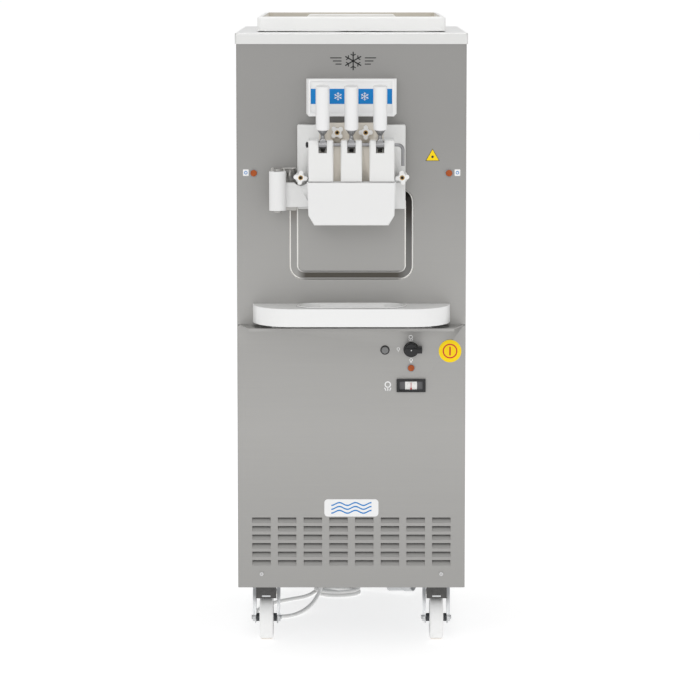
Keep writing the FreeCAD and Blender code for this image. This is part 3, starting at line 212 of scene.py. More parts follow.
def brushed(name, colour, roughness, along, depth=0.00002, cloud=0.06):
    """Sheet or bar metal with fine lines along the axis whose stretch is small."""
    f = Finish(name, roughness, metallic=1.0)
    lines = f.noise(along, detail=4.0)
    patches = f.noise((5, 5, 5), detail=4.0)
    tone = f.mix(patches, shade(colour, 1 - cloud), shade(colour, 1 + cloud))
    f.colour(f.mix(lines * 0.35, tone, shade(colour, 0.86)))
    f.feed("Roughness", roughness - 0.07 + 0.1 * lines + 0.06 * patches)
    f.bump(lines, depth, 0.6)
    return f


def moulded(name, colour, roughness, grain=1400, depth=0.00002, **fixed):
    """Moulded plastic: faint grain, slow changes of gloss, and a little greying in patches."""
    f = Finish(name, roughness, **fixed)
    skin = f.noise((grain, grain, grain), detail=2.0)
    patches = f.noise((9, 9, 14), detail=5.0, rough=0.6)
    f.colour(f.mix(patches, colour, shade(colour, 0.97)))
    f.feed("Roughness", roughness - 0.05 + 0.1 * patches + 0.04 * skin)
    f.bump(skin, depth, 0.5)
    return f


def enamel(name, colour, roughness):
    """Sprayed paint with orange peel and dusty patches."""
    f = Finish(name, roughness)
    peel = f.noise((260, 260, 260), detail=2.0)
    dust = f.noise((14, 14, 14), detail=6.0, rough=0.65)
    f.colour(f.mix(dust * 0.5, colour, rgb(0.3, 0.29, 0.28)))
    f.feed("Roughness", roughness + 0.2 * dust)
    f.bump(peel, 0.00006, 0.6)
    return f


def rubber(name, colour, roughness):
    """Matt rubber or cord sheath with a little dust on it."""
    f = Finish(name, roughness)
    skin = f.noise((900, 900, 900), detail=3.0)
    dust = f.noise((30, 30, 30), detail=4.0)
    f.colour(f.mix(dust * 0.4, colour, shade(colour, 1.2)))
    f.feed("Roughness", roughness - 0.08 + 0.16 * dust)
    f.bump(skin, 0.00003, 0.7)
    return f


def film(name, colour):
    """Printed label film: ink mottling under a clear face."""
    f = Finish(name, 0.45, Coat_Weight=0.1, Coat_Roughness=0.2, Specular_IOR_Level=0.25)
    ink = f.noise((500, 500, 500), detail=2.0)
    wear = f.noise((40, 40, 40), detail=3.0)
    f.colour(f.mix(ink * 0.5, colour, shade(colour, 0.9)))
    f.feed("Roughness", 0.45 + 0.12 * wear)
    f.bump(ink, 0.00001, 0.3)
    return f


def steel_tone(level):
    """The panels' grey, a touch warmer than neutral."""
    return rgb(level, level * 0.985, level * 0.955)


def front_steel(name, stops, pressed=False):
    """Brushed front sheet: fine level grain, a painted reflection and shade that change with height, wiped
    patches.

    The stops give a painted grey at a height in metres. A pressed sheet has the channel round the head, with
    its painted highlights and shade.
    """
    f = Finish(name, 0.42, 0.75)
    lines = f.noise((5, 1100, 1100), detail=4.0)
    wiped = f.noise((3.5, 3.5, 6), detail=5.0, rough=0.6)
    x, _, z = f.axes((0, FRONT, 0))
    tall = 1.45
    # Painted reflection and shade: the sheet's grey is set by height alone.
    tone = f.ramp(z * (1 / tall), [(height / tall, steel_tone(level)) for height, level in stops])
    tone = f.mix(lines * 0.22, tone, steel_tone(stops[0][1] * 0.75))
    tone = f.mix(wiped * 0.14, tone, steel_tone(stops[0][1] * 1.15))
    if pressed:
        tone = channel_painted_light(f, x, z, tone)
    f.colour(tone)
    f.feed("Roughness", 0.36 + 0.08 * lines + 0.1 * wiped)
    f.bump(lines, 0.000012, 0.5)
    return f


def channel_painted_light(f, x, z, tone):
    """The channel's light painted into its colour: painted highlights on the rolled edges, painted shade and
    dark painted reflections on the floor between them.

    Its centreline is a rectangle with rounded corners, and the tones follow the distance from it.
    """
    half_x, half_z, middle_z, radius = 0.1305, 0.09375, 0.9505, 0.0215
    lower_run, corner_start, corner_width = 0.874, 0.104, 0.02
    floor_low, floor_upright, lip_in, lip_out = 0.0058, 0.0012, 0.0070, 0.0100
    shade_from, shade_tall = 0.85, 0.2

    side = x.absolute()
    qx = side - (half_x - radius)
    qz = (z - middle_z).absolute() - (half_z - radius)
    ox, oz = qx.at_least(0.0), qz.at_least(0.0)
    off = ((ox * ox + oz * oz).root() + qx.at_least(qz).at_most(0.0) - radius).absolute()

    rounding = f.ramp((side - corner_start) * (1 / corner_width), [(0.0, rgb(0, 0, 0)), (1.0, rgb(1, 1, 1))])
    uprights = (z > lower_run).at_least(rounding)
    height = (z - shade_from) * (1 / shade_tall)
    # Painted shade and reflection on the channel floor: darkest at the top right, where the head shades it,
    # lighter on the left.
    right = [(0.0, steel_tone(0.20)), (0.45, steel_tone(0.13)), (0.75, rgb(0.035, 0.030, 0.026)),
             (1.0, rgb(0.01, 0.009, 0.008))]
    left = [(0.0, steel_tone(0.36)), (0.6, steel_tone(0.30)), (1.0, rgb(0.16, 0.13, 0.10))]
    channel_shade_and_reflection = f.mix(x > 0.0, f.ramp(height, left), f.ramp(height, right))
    # The lower run gets a dark, warm painted shade.
    channel_shade_and_reflection = f.mix(uprights, rgb(0.085, 0.078, 0.066), channel_shade_and_reflection)
    tone = f.mix(off < floor_low + floor_upright * uprights, tone, channel_shade_and_reflection)
    # Painted highlight along the rolled edges.
    return f.mix((off > lip_in) * (off < lip_out) * uprights * 0.9, tone, steel_tone(1.0))


def worktop_painted_sheen():
    """Satin worktop pressing; its top face is painted brighter than the rim, a painted sheen."""
    f = Finish("worktop_painted_sheen", 0.36, 1.0)
    lines = f.noise((6, 900, 900), detail=4.0)
    patches = f.noise((5, 5, 5), detail=4.0)
    rim_top = 1.4046
    top = f.axes()[2] > rim_top
    rim = f.mix(patches, rgb(0.64, 0.64, 0.63), rgb(0.71, 0.71, 0.70))
    rim = f.mix(lines * 0.3, rim, rgb(0.58, 0.58, 0.57))
    # Painted sheen: the top face gets a far lighter grey than the rim, for the light it catches.
    f.colour(f.mix(top, rim, f.mix(lines * 0.2, rgb(0.92, 0.92, 0.915), rgb(0.82, 0.82, 0.81))))
    f.feed("Roughness", 0.3 + 0.1 * lines + 0.06 * patches)
    f.bump(lines, 0.00002, 0.6)
    return f


def wheel_nylon(name, centre):
    """White nylon wheel, stained tan where it stands on the floor, with dark hub spacers."""
    f = Finish(name, 0.42)
    x, y, z = f.axes(centre)
    tread_radius, floor_patch, wheel_side = 0.0485, -0.0455, 0.0158
    tread = ((y * y + z * z).root() > tread_radius) * (z < floor_patch)
    spacer = x.absolute() > wheel_side
    scuffs = f.noise((120, 120, 120), detail=5.0, rough=0.7)
    clean = f.mix(scuffs, rgb(0.90, 0.90, 0.90), rgb(0.82, 0.82, 0.81))
    worn = f.mix(scuffs, rgb(0.36, 0.27, 0.17), rgb(0.55, 0.47, 0.36))
    white = f.mix(tread * (0.4 + 0.5 * scuffs), clean, worn)
    f.colour(f.mix(spacer, white, rgb(0.05, 0.055, 0.06)))
    f.feed("Roughness", 0.36 + 0.2 * scuffs)
    f.bump(scuffs, 0.00015, 0.4)
    return f


def fins_and_copper():
    """Aluminium fins low down, copper on the lines above and behind them."""
    f = Finish("fins_and_copper", 0.35, 1.0)
    _, y, z = f.axes((0, FRONT, 0))
    fins_top, fins_back = 0.346, 0.101
    copper = (z > fins_top).at_least(y > fins_back)
    stain = f.noise((60, 60, 60), detail=5.0)
    bare = f.mix(stain, rgb(0.70, 0.71, 0.72), rgb(0.52, 0.53, 0.54))
    red = f.mix(stain, rgb(0.72, 0.36, 0.22), rgb(0.42, 0.20, 0.12))
    f.colour(f.mix(copper, bare, red))
    f.feed("Roughness", 0.25 + 0.3 * stain)
    f.bump(stain, 0.0001, 0.3)
    return f


def head_plastic():
    """White moulded head; the grooves between the towers and the seat above them get a warm painted shade.
    """
    f = Finish("head_plastic", 0.34)
    x, y, z = f.axes((0, FRONT, 0))
    groove_floor, outer_towers, towers_foot = -0.0995, 0.0722, 1.0775
    # Painted shade: the deep grooves and the recessed seat above them are tinted a warm beige.
    recess_shade = (y > groove_floor) * (x.absolute() < outer_towers) * (z > towers_foot)
    patches = f.noise((9, 9, 14), detail=5.0, rough=0.6)
    skin = f.noise((1400, 1400, 1400), detail=2.0)
    clean = f.mix(patches, WHITE, shade(WHITE, 0.97))
    f.colour(f.mix(recess_shade * (0.75 + 0.25 * patches), clean, rgb(0.70, 0.645, 0.56)))
    f.feed("Roughness", 0.30 + 0.1 * patches + 0.04 * skin)
    f.bump(skin, 0.00002, 0.5)
    return f


def lid_plastic():
    """Satin white lid whose sunk dish is painted a darker, warm tone as painted shade."""
    f = Finish("lid_plastic", 0.4)
    x, y, z = f.axes((0, FRONT, 0))
    bow_middle, bow_half = 0.385, 0.0095
    dish_floor, dish_half, dish_front, dish_back = 1.4234, 0.2022, 0.0978, 0.6722
    bow = (y - bow_middle).absolute() < bow_half
    # Painted shade inside the sunk dish; the raised bow across it stays white.
    dish = (z > dish_floor) * (x.absolute() < dish_half) * (y > dish_front) * (y < dish_back) * (1 - bow)
    patches = f.noise((9, 9, 14), detail=5.0, rough=0.6)
    skin = f.noise((900, 900, 900), detail=2.0)
    white = f.mix(patches, rgb(0.90, 0.90, 0.89), rgb(0.87, 0.87, 0.86))
    f.colour(f.mix(dish, white, rgb(0.55, 0.51, 0.44)))
    f.feed("Roughness", 0.35 + 0.1 * patches + 0.05 * skin)
    f.bump(skin, 0.00003, 0.5)
    return f


def pin_steel():
    """Ground rod with a black rubber retaining ring at its left end."""
    f = Finish("ground_rod", 0.3)
    ring_start = -0.0958
    rubber_ring = f.axes()[0] < ring_start
    lines = f.noise((900, 30, 30), detail=3.0)
    ground = f.mix(lines, rgb(0.34, 0.34, 0.345), rgb(0.22, 0.22, 0.225))
    f.colour(f.mix(rubber_ring, ground, rgb(0.02, 0.02, 0.02)))
    f.feed("Metallic", 1 - rubber_ring)
    f.feed("Roughness", 0.24 + 0.12 * lines + 0.25 * rubber_ring)
    f.bump(lines, 0.00001, 0.4)
    return f


def pedal_steel():
    """Dark pressed pedal with a cross-hatched grip pattern."""
    f = Finish("pedal_steel", 0.55, 0.6)
    x, _, z = f.axes()
    pitch = 1600
    hatch = (x * pitch).sine() * (z * pitch).sine()
    grime = f.noise((90, 90, 90), detail=5.0, rough=0.7)
    f.colour(f.mix(grime, rgb(0.05, 0.05, 0.05), rgb(0.17, 0.165, 0.16)))
    f.feed("Roughness", 0.4 + 0.3 * grime)
    f.bump(hatch + grime, 0.0004, 0.6)
    return f


def amber_lens():
    """Ribbed amber signal lens."""
    f = Finish("amber_lens", 0.35, Coat_Weight=0.1, Coat_Roughness=0.08, Specular_IOR_Level=0.3)
    pitch = 2600
    ribs = (f.axes()[0] * pitch).sine()
    depth_tone = f.noise((150, 150, 150), detail=3.0)
    f.colour(f.mix(depth_tone, rgb(0.52, 0.11, 0.008), rgb(0.24, 0.035, 0.004)))
    f.feed("Roughness", 0.3 + 0.1 * depth_tone)
    f.bump(ribs, 0.0002, 0.3)
    return f


def floor_finish():
    """Pale matt studio floor that glows a little, so that the room stays light under the machine."""
    f = Finish("studio_floor", 0.85, Emission_Color=rgb(1, 1, 1), Emission_Strength=0.66)
    speckle = f.noise((2, 2, 2), detail=3.0)
    f.colour(f.mix(speckle, rgb(0.50, 0.50, 0.50), rgb(0.48, 0.48, 0.48)))
    return f


# Painted reflection and shade by height: the upper sheet lightens downwards towards the bright floor, and
# the lower sheet dips under the ledge and near the floor.
UPPER_PAINTED_LIGHT = [(0.74, 0.40), (0.90, 0.36), (1.05, 0.31), (1.20, 0.28), (1.40, 0.27)]
LOWER_PAINTED_LIGHT = [(0.137, 0.36), (0.32, 0.38), (0.50, 0.41), (0.68, 0.38), (0.74, 0.40)]
finishes = {
    "upper_panel_steel": front_steel("upper_panel_steel", UPPER_PAINTED_LIGHT, pressed=True),
    "lower_panel_steel": front_steel("lower_panel_steel", LOWER_PAINTED_LIGHT),
    "side_panel_steel": brushed("side_panel_steel", rgb(0.42, 0.415, 0.40), 0.38, (900, 900, 6)),
    "rear_panel_steel": brushed("rear_panel_steel", rgb(0.40, 0.395, 0.385), 0.42, (900, 900, 6)),
    "worktop_painted_sheen": worktop_painted_sheen(),
    "tank_steel": brushed("tank_steel", rgb(0.62, 0.62, 0.61), 0.25, (300, 300, 20)),
    "galvanised": brushed("galvanised", rgb(0.45, 0.46, 0.47), 0.5, (40, 40, 40), 0.00005, 0.2),
    "lever_steel": brushed("lever_steel", rgb(0.30, 0.30, 0.305), 0.2, (500, 500, 60), 0.00002, 0.2),
    "bracket_steel": brushed("bracket_steel", rgb(0.52, 0.51, 0.49), 0.38, (60, 700, 700)),
    "zinc_plate": brushed("zinc_plate", rgb(0.68, 0.69, 0.70), 0.34, (80, 80, 80), 0.00005, 0.2),
    "screw_steel": brushed("screw_steel", rgb(0.60, 0.60, 0.60), 0.26, (400, 400, 400)),
    "brass": brushed("brass", rgb(0.60, 0.40, 0.14), 0.32, (500, 60, 500)),
    "ground_rod": pin_steel(),
    "pedal_steel": pedal_steel(),
    "fins_and_copper": fins_and_copper(),
    "head_plastic": head_plastic(),
    "guard_plastic": moulded("guard_plastic", rgb(0.77, 0.77, 0.765), 0.34),
    "grip_plastic": moulded("grip_plastic", rgb(0.79, 0.79, 0.79), 0.3, Coat_Weight=0.2),
    "knob_plastic": moulded("knob_plastic", rgb(0.90, 0.90, 0.89), 0.3),
    "shelf_plastic": moulded("shelf_plastic", rgb(0.82, 0.82, 0.815), 0.28, Coat_Weight=0.15),
    "bowl_plastic": moulded("bowl_plastic", rgb(0.82, 0.82, 0.81), 0.24, Coat_Weight=0.2),
    "lid_plastic": lid_plastic(),
    "sign_plastic": moulded("sign_plastic", rgb(0.87, 0.87, 0.865), 0.3),
    "piston_plastic": moulded("piston_plastic", rgb(0.78, 0.78, 0.76), 0.38),
    "control_black": moulded("control_black", rgb(0.006, 0.006, 0.007), 0.4, 900, 0.00004),
    "button_grey": moulded("button_grey", rgb(0.20, 0.20, 0.20), 0.4, 900, 0.00004),
    "needle_red": moulded("needle_red", rgb(0.50, 0.02, 0.02), 0.35),
    "fan_plastic": moulded("fan_plastic", rgb(0.035, 0.038, 0.042), 0.5),
    "plug_grey": moulded("plug_grey", rgb(0.62, 0.63, 0.64), 0.42, 700, 0.00005),
    "dial_white": moulded("dial_white", rgb(0.82, 0.82, 0.80), 0.5),
    "meter_face": moulded("meter_face", rgb(0.10, 0.10, 0.105), 0.45),
    "amber_lens": amber_lens(),
    "motor_enamel": enamel("motor_enamel", rgb(0.10, 0.13, 0.15), 0.45),
    "compressor_enamel": enamel("compressor_enamel", rgb(0.015, 0.015, 0.016), 0.35),
    "box_enamel": enamel("box_enamel", rgb(0.28, 0.30, 0.31), 0.5),
    "cord_rubber": rubber("cord_rubber", rgb(0.80, 0.80, 0.79), 0.55),
    "black_rubber": rubber("black_rubber", rgb(0.02, 0.02, 0.021), 0.6),
    "blue_film": film("blue_film", rgb(0.0, 0.21, 0.58)),
    "white_film": film("white_film", rgb(0.86, 0.86, 0.86)),
    "yellow_film": film("yellow_film", rgb(0.98, 0.70, 0.0)),
    "black_film": film("black_film", rgb(0.02, 0.02, 0.02)),
    "red_film": film("red_film", rgb(0.62, 0.03, 0.03)),
}
wheel_nodes = [f"{end}_caster_wheel_{side}" for end in ("front", "rear") for side in ("left", "right")]
for node in wheel_nodes:
    low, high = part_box(node)
    finishes[node] = wheel_nylon(node + "_nylon", tuple((low + high) / 2))


# ---- making pieces --------------------------------------------------------------------------
def new_piece(name, bm, finish, body, smooth=35.0):
    """Turns a bmesh into a named piece that rides on a body; edges sharper than smooth stay crisp."""
    mesh = bpy.data.meshes.new(name)
    bm.to_mesh(mesh)
    bm.free()
    mesh.shade_smooth()
    mesh.set_sharp_from_angle(angle=math.radians(smooth))
    piece = bpy.data.objects.new(name, mesh)
    bpy.context.scene.collection.objects.link(piece)
    mesh.materials.append(finishes[finish].material)
    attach(piece, body)
    return piece


MERGE = 0.000004             # CAD corners this close together are one
BODY_OF = {node: body for body, nodes in frame["record"]["behaviour"]["bodies"].items() for node in nodes}


def dressed(node, finish):
    """A smooth-shaded copy of a CAD node with its finish; it stands for the node."""
    bm = bmesh.new()
    bm.from_mesh(frame["nodes"][node].data)
    bmesh.ops.remove_doubles(bm, verts=bm.verts, dist=MERGE)
    piece = new_piece(node + "_finished", bm, finish, BODY_OF[node], smooth=32.0)
    weighted = piece.modifiers.new("flat_faces_first", "WEIGHTED_NORMAL")
    weighted.keep_sharp = True
    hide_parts(node)
    return piece


def plate(width, height, thickness, radius, segments=6):
    """A thin rounded plate facing -Y, its back at y = 0, centred on x and z."""
    bm = bmesh.new()
    bmesh.ops.create_grid(bm, x_segments=1, y_segments=1, size=0.5)
    bmesh.ops.scale(bm, vec=(width, height, 1), verts=bm.verts)
    if radius:
        bmesh.ops.bevel(bm, geom=bm.verts[:], offset=radius, segments=segments, profile=0.5,
                        affect="VERTICES", material=-1)
    upright(bm)
    thicken(bm, thickness)
    return bm


def thicken(bm, thickness):
    """Extrudes flat faces towards -Y and closes them."""
    grown = bmesh.ops.extrude_face_region(bm, geom=bm.faces[:])
    front = [v for v in grown["geom"] if isinstance(v, bmesh.types.BMVert)]
    bmesh.ops.translate(bm, vec=(0, -thickness, 0), verts=front)
    bmesh.ops.recalc_face_normals(bm, faces=bm.faces)


def moved(bm, place, turn=0.0):
    """Turns a piece about Y by degrees and moves it to a place."""
    bmesh.ops.rotate(bm, cent=(0, 0, 0), matrix=Matrix.Rotation(math.radians(turn), 3, "Y"), verts=bm.verts)
    bmesh.ops.translate(bm, vec=place, verts=bm.verts)
    return bm


def disc(radius, thickness, sides):
    """A thin disc facing -Y, its back at y = 0."""
    bm = bmesh.new()
    bmesh.ops.create_circle(bm, cap_ends=True, radius=radius, segments=sides)
    upright(bm)
    thicken(bm, thickness)
    return bm


def ring(inner, outer, thickness, sides):
    """A flat washer facing -Y, its back at y = 0."""
    bm = bmesh.new()
    loops = []
    for radius in (inner, outer):
        turns = [2 * math.pi * k / sides for k in range(sides)]
        loops.append([bm.verts.new((radius * math.cos(t), 0, radius * math.sin(t))) for t in turns])
    for k in range(sides):
        after = (k + 1) % sides
        bm.faces.new((loops[0][k], loops[0][after], loops[1][after], loops[1][k]))
    thicken(bm, thickness)
    return bm


def joined(pieces):
    """Several bmeshes as one."""
    whole = bmesh.new()
    for bm in pieces:
        mesh = bpy.data.meshes.new("part")
        bm.to_mesh(mesh)
        bm.free()
        whole.from_mesh(mesh)
        bpy.data.meshes.remove(mesh)
    return whole


def wave(length, swing, width, thickness, turns):
    """A wavy stripe facing -Y."""
    bm = bmesh.new()
    bmesh.ops.create_grid(bm, x_segments=48, y_segments=1, size=0.5)
    bmesh.ops.scale(bm, vec=(length, width, 1), verts=bm.verts)
    for vert in bm.verts:
        vert.co.y += swing * math.sin(vert.co.x / length * turns * 2 * math.pi)
    upright(bm)
    thicken(bm, thickness)
    return bm


def snow_crystal(radius, stroke, thickness):
    """A plain six-armed snow crystal."""
    arms = []
    for turn in range(0, 360, 60):
        toward = pointing(turn)
        arms.append(moved(plate(stroke, radius, thickness, stroke * 0.4, 2), toward * radius / 2, turn))
        fork = toward * radius * 0.58
        for lean in (turn - 60, turn + 60):
            twig = plate(stroke * 0.8, radius * 0.34, thickness * 0.98, stroke * 0.3, 2)
            arms.append(moved(twig, fork + pointing(lean) * radius * 0.15, lean))
    return joined(arms)


def triangle(radius, thickness):
    """A triangular plate facing -Y that stands on one side."""
    bm = bmesh.new()
    bmesh.ops.create_circle(bm, cap_ends=True, radius=radius, segments=3)
    upright(bm)
    top = max(bm.verts, key=lambda v: v.co.z)
    turn = math.atan2(top.co.x, top.co.z)
    bmesh.ops.rotate(bm, cent=(0, 0, 0), matrix=Matrix.Rotation(-turn, 3, "Y"), verts=bm.verts)
    thicken(bm, thickness)
    return bm


def turned_piece(profile, sides=36):
    """A solid turned about Y from (radius, y) points that start and end on the axis."""
    bm = bmesh.new()
    verts = [bm.verts.new((radius, y, 0)) for radius, y in profile]
    edges = [bm.edges.new(pair) for pair in zip(verts, verts[1:])]
    bmesh.ops.spin(bm, geom=verts + edges, cent=(0, 0, 0), axis=(0, 1, 0), angle=2 * math.pi,
                   steps=sides, use_merge=True)
    bmesh.ops.remove_doubles(bm, verts=bm.verts, dist=0.000001)
    bmesh.ops.recalc_face_normals(bm, faces=bm.faces)
    return bm


# ---- CAD pieces that keep their shape ---------------------------------------------------------
DRESS = {
    "chassis_frame": "galvanised",
    "front_panel_upper": "upper_panel_steel",
    "front_panel_lower": "lower_panel_steel",
    "side_panel_left": "side_panel_steel",
    "side_panel_right": "side_panel_steel",
    "rear_panel": "rear_panel_steel",
    "top_cover": "worktop_painted_sheen",
    "mix_hoppers": "tank_steel",
    "feed_tubes": "tank_steel",
    "hopper_lid": "lid_plastic",
    "header_box": "sign_plastic",
    "freezing_cylinders": "tank_steel",
    "gearmotors": "motor_enamel",
    "head_body": "head_plastic",
    "spout_nozzles": "piston_plastic",
    "pivot_pin": "ground_rod",
    "spout_guard": "guard_plastic",
    "guard_bracket": "bracket_steel",
    "drip_shelf": "shelf_plastic",
    "drip_bowl": "bowl_plastic",
    "indicator_lenses": "amber_lens",
    "selector_knob": "control_black",
    "reset_button": "button_grey",
    "meter_housing": "control_black",
    "meter_needle": "needle_red",
    "control_box": "box_enamel",
    "panel_screws": "screw_steel",
    "compressor": "compressor_enamel",
    "condenser_and_lines": "fins_and_copper",
    "fan_motor": "motor_enamel",
    "fan_blade": "fan_plastic",
    "caster_swivel_plates": "zinc_plate",
    "rear_caster_forks": "zinc_plate",
    "front_caster_fork_left": "zinc_plate",
    "front_caster_fork_right": "zinc_plate",
    "brake_pedal_left": "pedal_steel",
    "brake_pedal_right": "pedal_steel",
    "beater_left": "tank_steel",
    "beater_right": "tank_steel",
    "cord_gland": "black_rubber",
    "mains_plug": "plug_grey",
}
DRESS.update({node: node for node in wheel_nodes})
for side in ("left", "centre", "right"):
    DRESS["lever_arm_" + side] = "lever_steel"
    DRESS["lever_grip_" + side] = "grip_plastic"
    DRESS["piston_" + side] = "piston_plastic"
for corner in CORNERS:
    DRESS["star_knob_" + corner] = "knob_plastic"
finished = {node: dressed(node, finish) for node, finish in DRESS.items()}


# ---- star knob inserts ------------------------------------------------------------------------
# A flared brass bush in each knob's front face; a black disc closing its hollow cone is painted shade for
# the depth of the hole.
BUSH = [(0, 0.0038), (0.0021, 0.0036), (0.0044, -0.0003), (0.0053, -0.0004), (0.0054, 0.0),
        (0.0040, 0.0002), (0.0040, 0.0050), (0, 0.0052)]
for corner in CORNERS:
    low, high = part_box("star_knob_" + corner)
    middle = (low + high) / 2
    place = Vector((middle.x, low.y, middle.z))
    new_piece("knob_insert_" + corner, moved(turned_piece(BUSH), place), "brass", "knob_" + corner)
    # Painted shade: a black disc stands for the dark inside of the hole.
    hole_shade = moved(disc(0.0023, FILM, 24), place + Vector((0, 0.0037, 0)))
    new_piece("knob_hole_shade_" + corner, hole_shade, "black_film", "knob_" + corner)


# ---- sign, labels and marks -------------------------------------------------------------------
SIGN_Z = 1.264
sign_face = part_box("header_box")[0].y + 0.002          # the recessed field inside the box's raised rim
band = moved(plate(0.183, 0.034, FILM, 0.001), (0, sign_face, SIGN_Z))
new_piece("sign_band", band, "blue_film", "cabinet")
crystals = [moved(snow_crystal(0.0095, 0.0013, INK), Vector((0.03 * k, 0, 0))) for k in (-1, 0, 1)]
on_band = (0, sign_face - FILM, SIGN_Z)
new_piece("sign_crystals", moved(joined(crystals), on_band), "white_film", "cabinet")

EMBLEM = at(4, ON_PANEL, 1342)
new_piece("emblem_crystal", moved(snow_crystal(0.021, 0.0028, FILM), EMBLEM), "black_film", "cabinet")
rules = []
for side in (-1, 1):
    for k in range(3):
        length = 0.026 - 0.006 * k
        centre = Vector((side * (0.026 + length / 2), 0, 0.007 - 0.007 * k))
        rules.append(moved(plate(length, 0.0022, FILM, 0.001, 3), EMBLEM + centre))
new_piece("emblem_rules", joined(rules), "black_film", "cabinet")

BADGE = at(0, ON_PANEL, 322)
BADGE_THICK = 0.0006
new_piece("badge_plate", moved(plate(0.124, 0.040, BADGE_THICK, 0.008), BADGE), "white_film", "cabinet")
waves = []
for k in (1, 0, -1):
    stripe = wave(length=0.092, swing=0.0032, width=0.0030, thickness=INK, turns=2.5)
    waves.append(moved(stripe, BADGE + Vector((0, -BADGE_THICK, 0.009 * k))))
new_piece("badge_waves", joined(waves), "blue_film", "cabinet")

# Each layer of a label stands a little prouder than the one under it.
CAUTION = at(183.5, ON_PANEL, 1126)
new_piece("caution_border", moved(triangle(0.0185, FILM), CAUTION), "black_film", "cabinet")
new_piece("caution_face", moved(triangle(0.0165, 0.0004), CAUTION), "yellow_film", "cabinet")
new_piece("caution_dot", moved(disc(0.0028, 0.0005, 24), CAUTION), "black_film", "cabinet")

ROUND = at(224.6, ON_PANEL, 683.5)
new_piece("round_label", moved(disc(0.0258, FILM, 56), ROUND), "yellow_film", "cabinet")
new_piece("round_label_ring", moved(ring(0.0140, 0.0168, 0.0005, 48), ROUND), "red_film", "cabinet")
new_piece("round_label_bar", moved(plate(0.0035, 0.020, 0.0005, 0.001, 3), ROUND), "red_film", "cabinet")


def mark_on_tile(name, x, z, size):
    """A pale square label with a blue ring, beside a lamp."""
    base = at(x, ON_PANEL, z)
    size *= MM
    tile = plate(size, size * 1.15, INK, size * 0.12, 3)
    new_piece("lamp_label_" + name, moved(tile, base), "white_film", "cabinet")
    mark = ring(size * 0.18, size * 0.30, FILM, 24)
    new_piece("lamp_mark_" + name, moved(mark, base), "blue_film", "cabinet")


def printed_mark(name, x, z, size, bars):
    """A small white mark printed beside a control: a ring with short bars under it."""
    size *= MM
    pieces = [moved(ring(size * 0.22, size * 0.34, INK, 20), (0, 0, size * 0.12))]
    for k in range(bars):
        step = k - (bars - 1) / 2
        bar = plate(size * 0.10, size * 0.34, INK, 0)
        pieces.append(moved(bar, (size * 0.26 * step, 0, -size * 0.36), 24 * step))
    new_piece("printed_mark_" + name, moved(joined(pieces), at(x, ON_PANEL, z)), "white_film", "cabinet")


mark_on_tile("left", -239, 1090, 13)
mark_on_tile("right", 240, 1090, 13)
printed_mark("selector_top", 135, 714, 14, 3)
printed_mark("selector_left", 107, 687, 11, 1)
printed_mark("selector_low", 136, 662, 11, 2)
printed_mark("meter", 83, 604, 22, 3)


# ---- lamps, selector, meter -------------------------------------------------------------------
LAMPS = {"left": (-221, 1089), "right": (221, 1089), "low": (136, 645)}
SELECTOR = (136, 687)
BUTTON = (76.5, 686)
METER = (136, 604.75)


def collar(name, place, inner, outer, proud, finish, sides):
    """A flat ring on the panel round a control; place is across and above the floor, in mm."""
    bezel = moved(ring(inner, outer, proud, sides), at(place[0], ON_PANEL, place[1]))
    new_piece(name, bezel, finish, "cabinet")


for name, place in LAMPS.items():
    collar("lamp_bezel_" + name, place, 0.0076, 0.0092, 0.0022, "lever_steel", 40)
selector_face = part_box("selector_knob")[0].y
pointer = moved(disc(0.0013, FILM, 20), (SELECTOR[0] * MM, selector_face, SELECTOR[1] * MM))
new_piece("selector_dot", pointer, "white_film", "selector")
collar("selector_ring", SELECTOR, 0.0155, 0.0175, 0.0010, "control_black", 48)
collar("button_collar", BUTTON, 0.0084, 0.0105, 0.0015, "control_black", 40)


def on_meter(out, below=0.0):
    """A point on the meter's middle line, so many mm in front of the panel and below its middle."""
    return at(METER[0], out, METER[1] - below)


card = moved(plate(0.0528, 0.0186, FILM, 0.0005), on_meter(2.55))
new_piece("meter_card", card, "meter_face", "cabinet")
dial = moved(plate(0.027, 0.0180, FILM, 0.0008), on_meter(2.75))
new_piece("meter_dial", dial, "dial_white", "cabinet")
TICK_ARC = 0.0135
ticks = []
for k in range(9):
    lean = -40 + 10 * k
    tick = plate(0.0004, 0.0024 if k % 4 == 0 else 0.0014, 0.0001, 0)
    ticks.append(moved(tick, on_meter(3.0, below=7) + pointing(lean) * TICK_ARC, lean))
new_piece("meter_ticks", joined(ticks), "black_film", "cabinet")


# ---- brake pedal ribs ---------------------------------------------------------------------------
for side in ("left", "right"):
    low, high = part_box("brake_pedal_" + side)
    middle = (low.x + high.x) / 2
    ribs = []
    for k in range(5):
        rib = plate(0.041, 0.0012, FILM, 0.0005, 3)
        ribs.append(moved(rib, (middle, low.y, low.z + 0.010 + 0.0045 * k)))
    new_piece("pedal_ribs_" + side, joined(ribs), "pedal_steel", "pedal_" + side)
    bar = moved(plate(0.020, 0.0030, 0.0005, 0.001, 3), (middle, low.y, low.z + 0.0055))
    new_piece("pedal_mark_" + side, bar, "zinc_plate", "pedal_" + side)


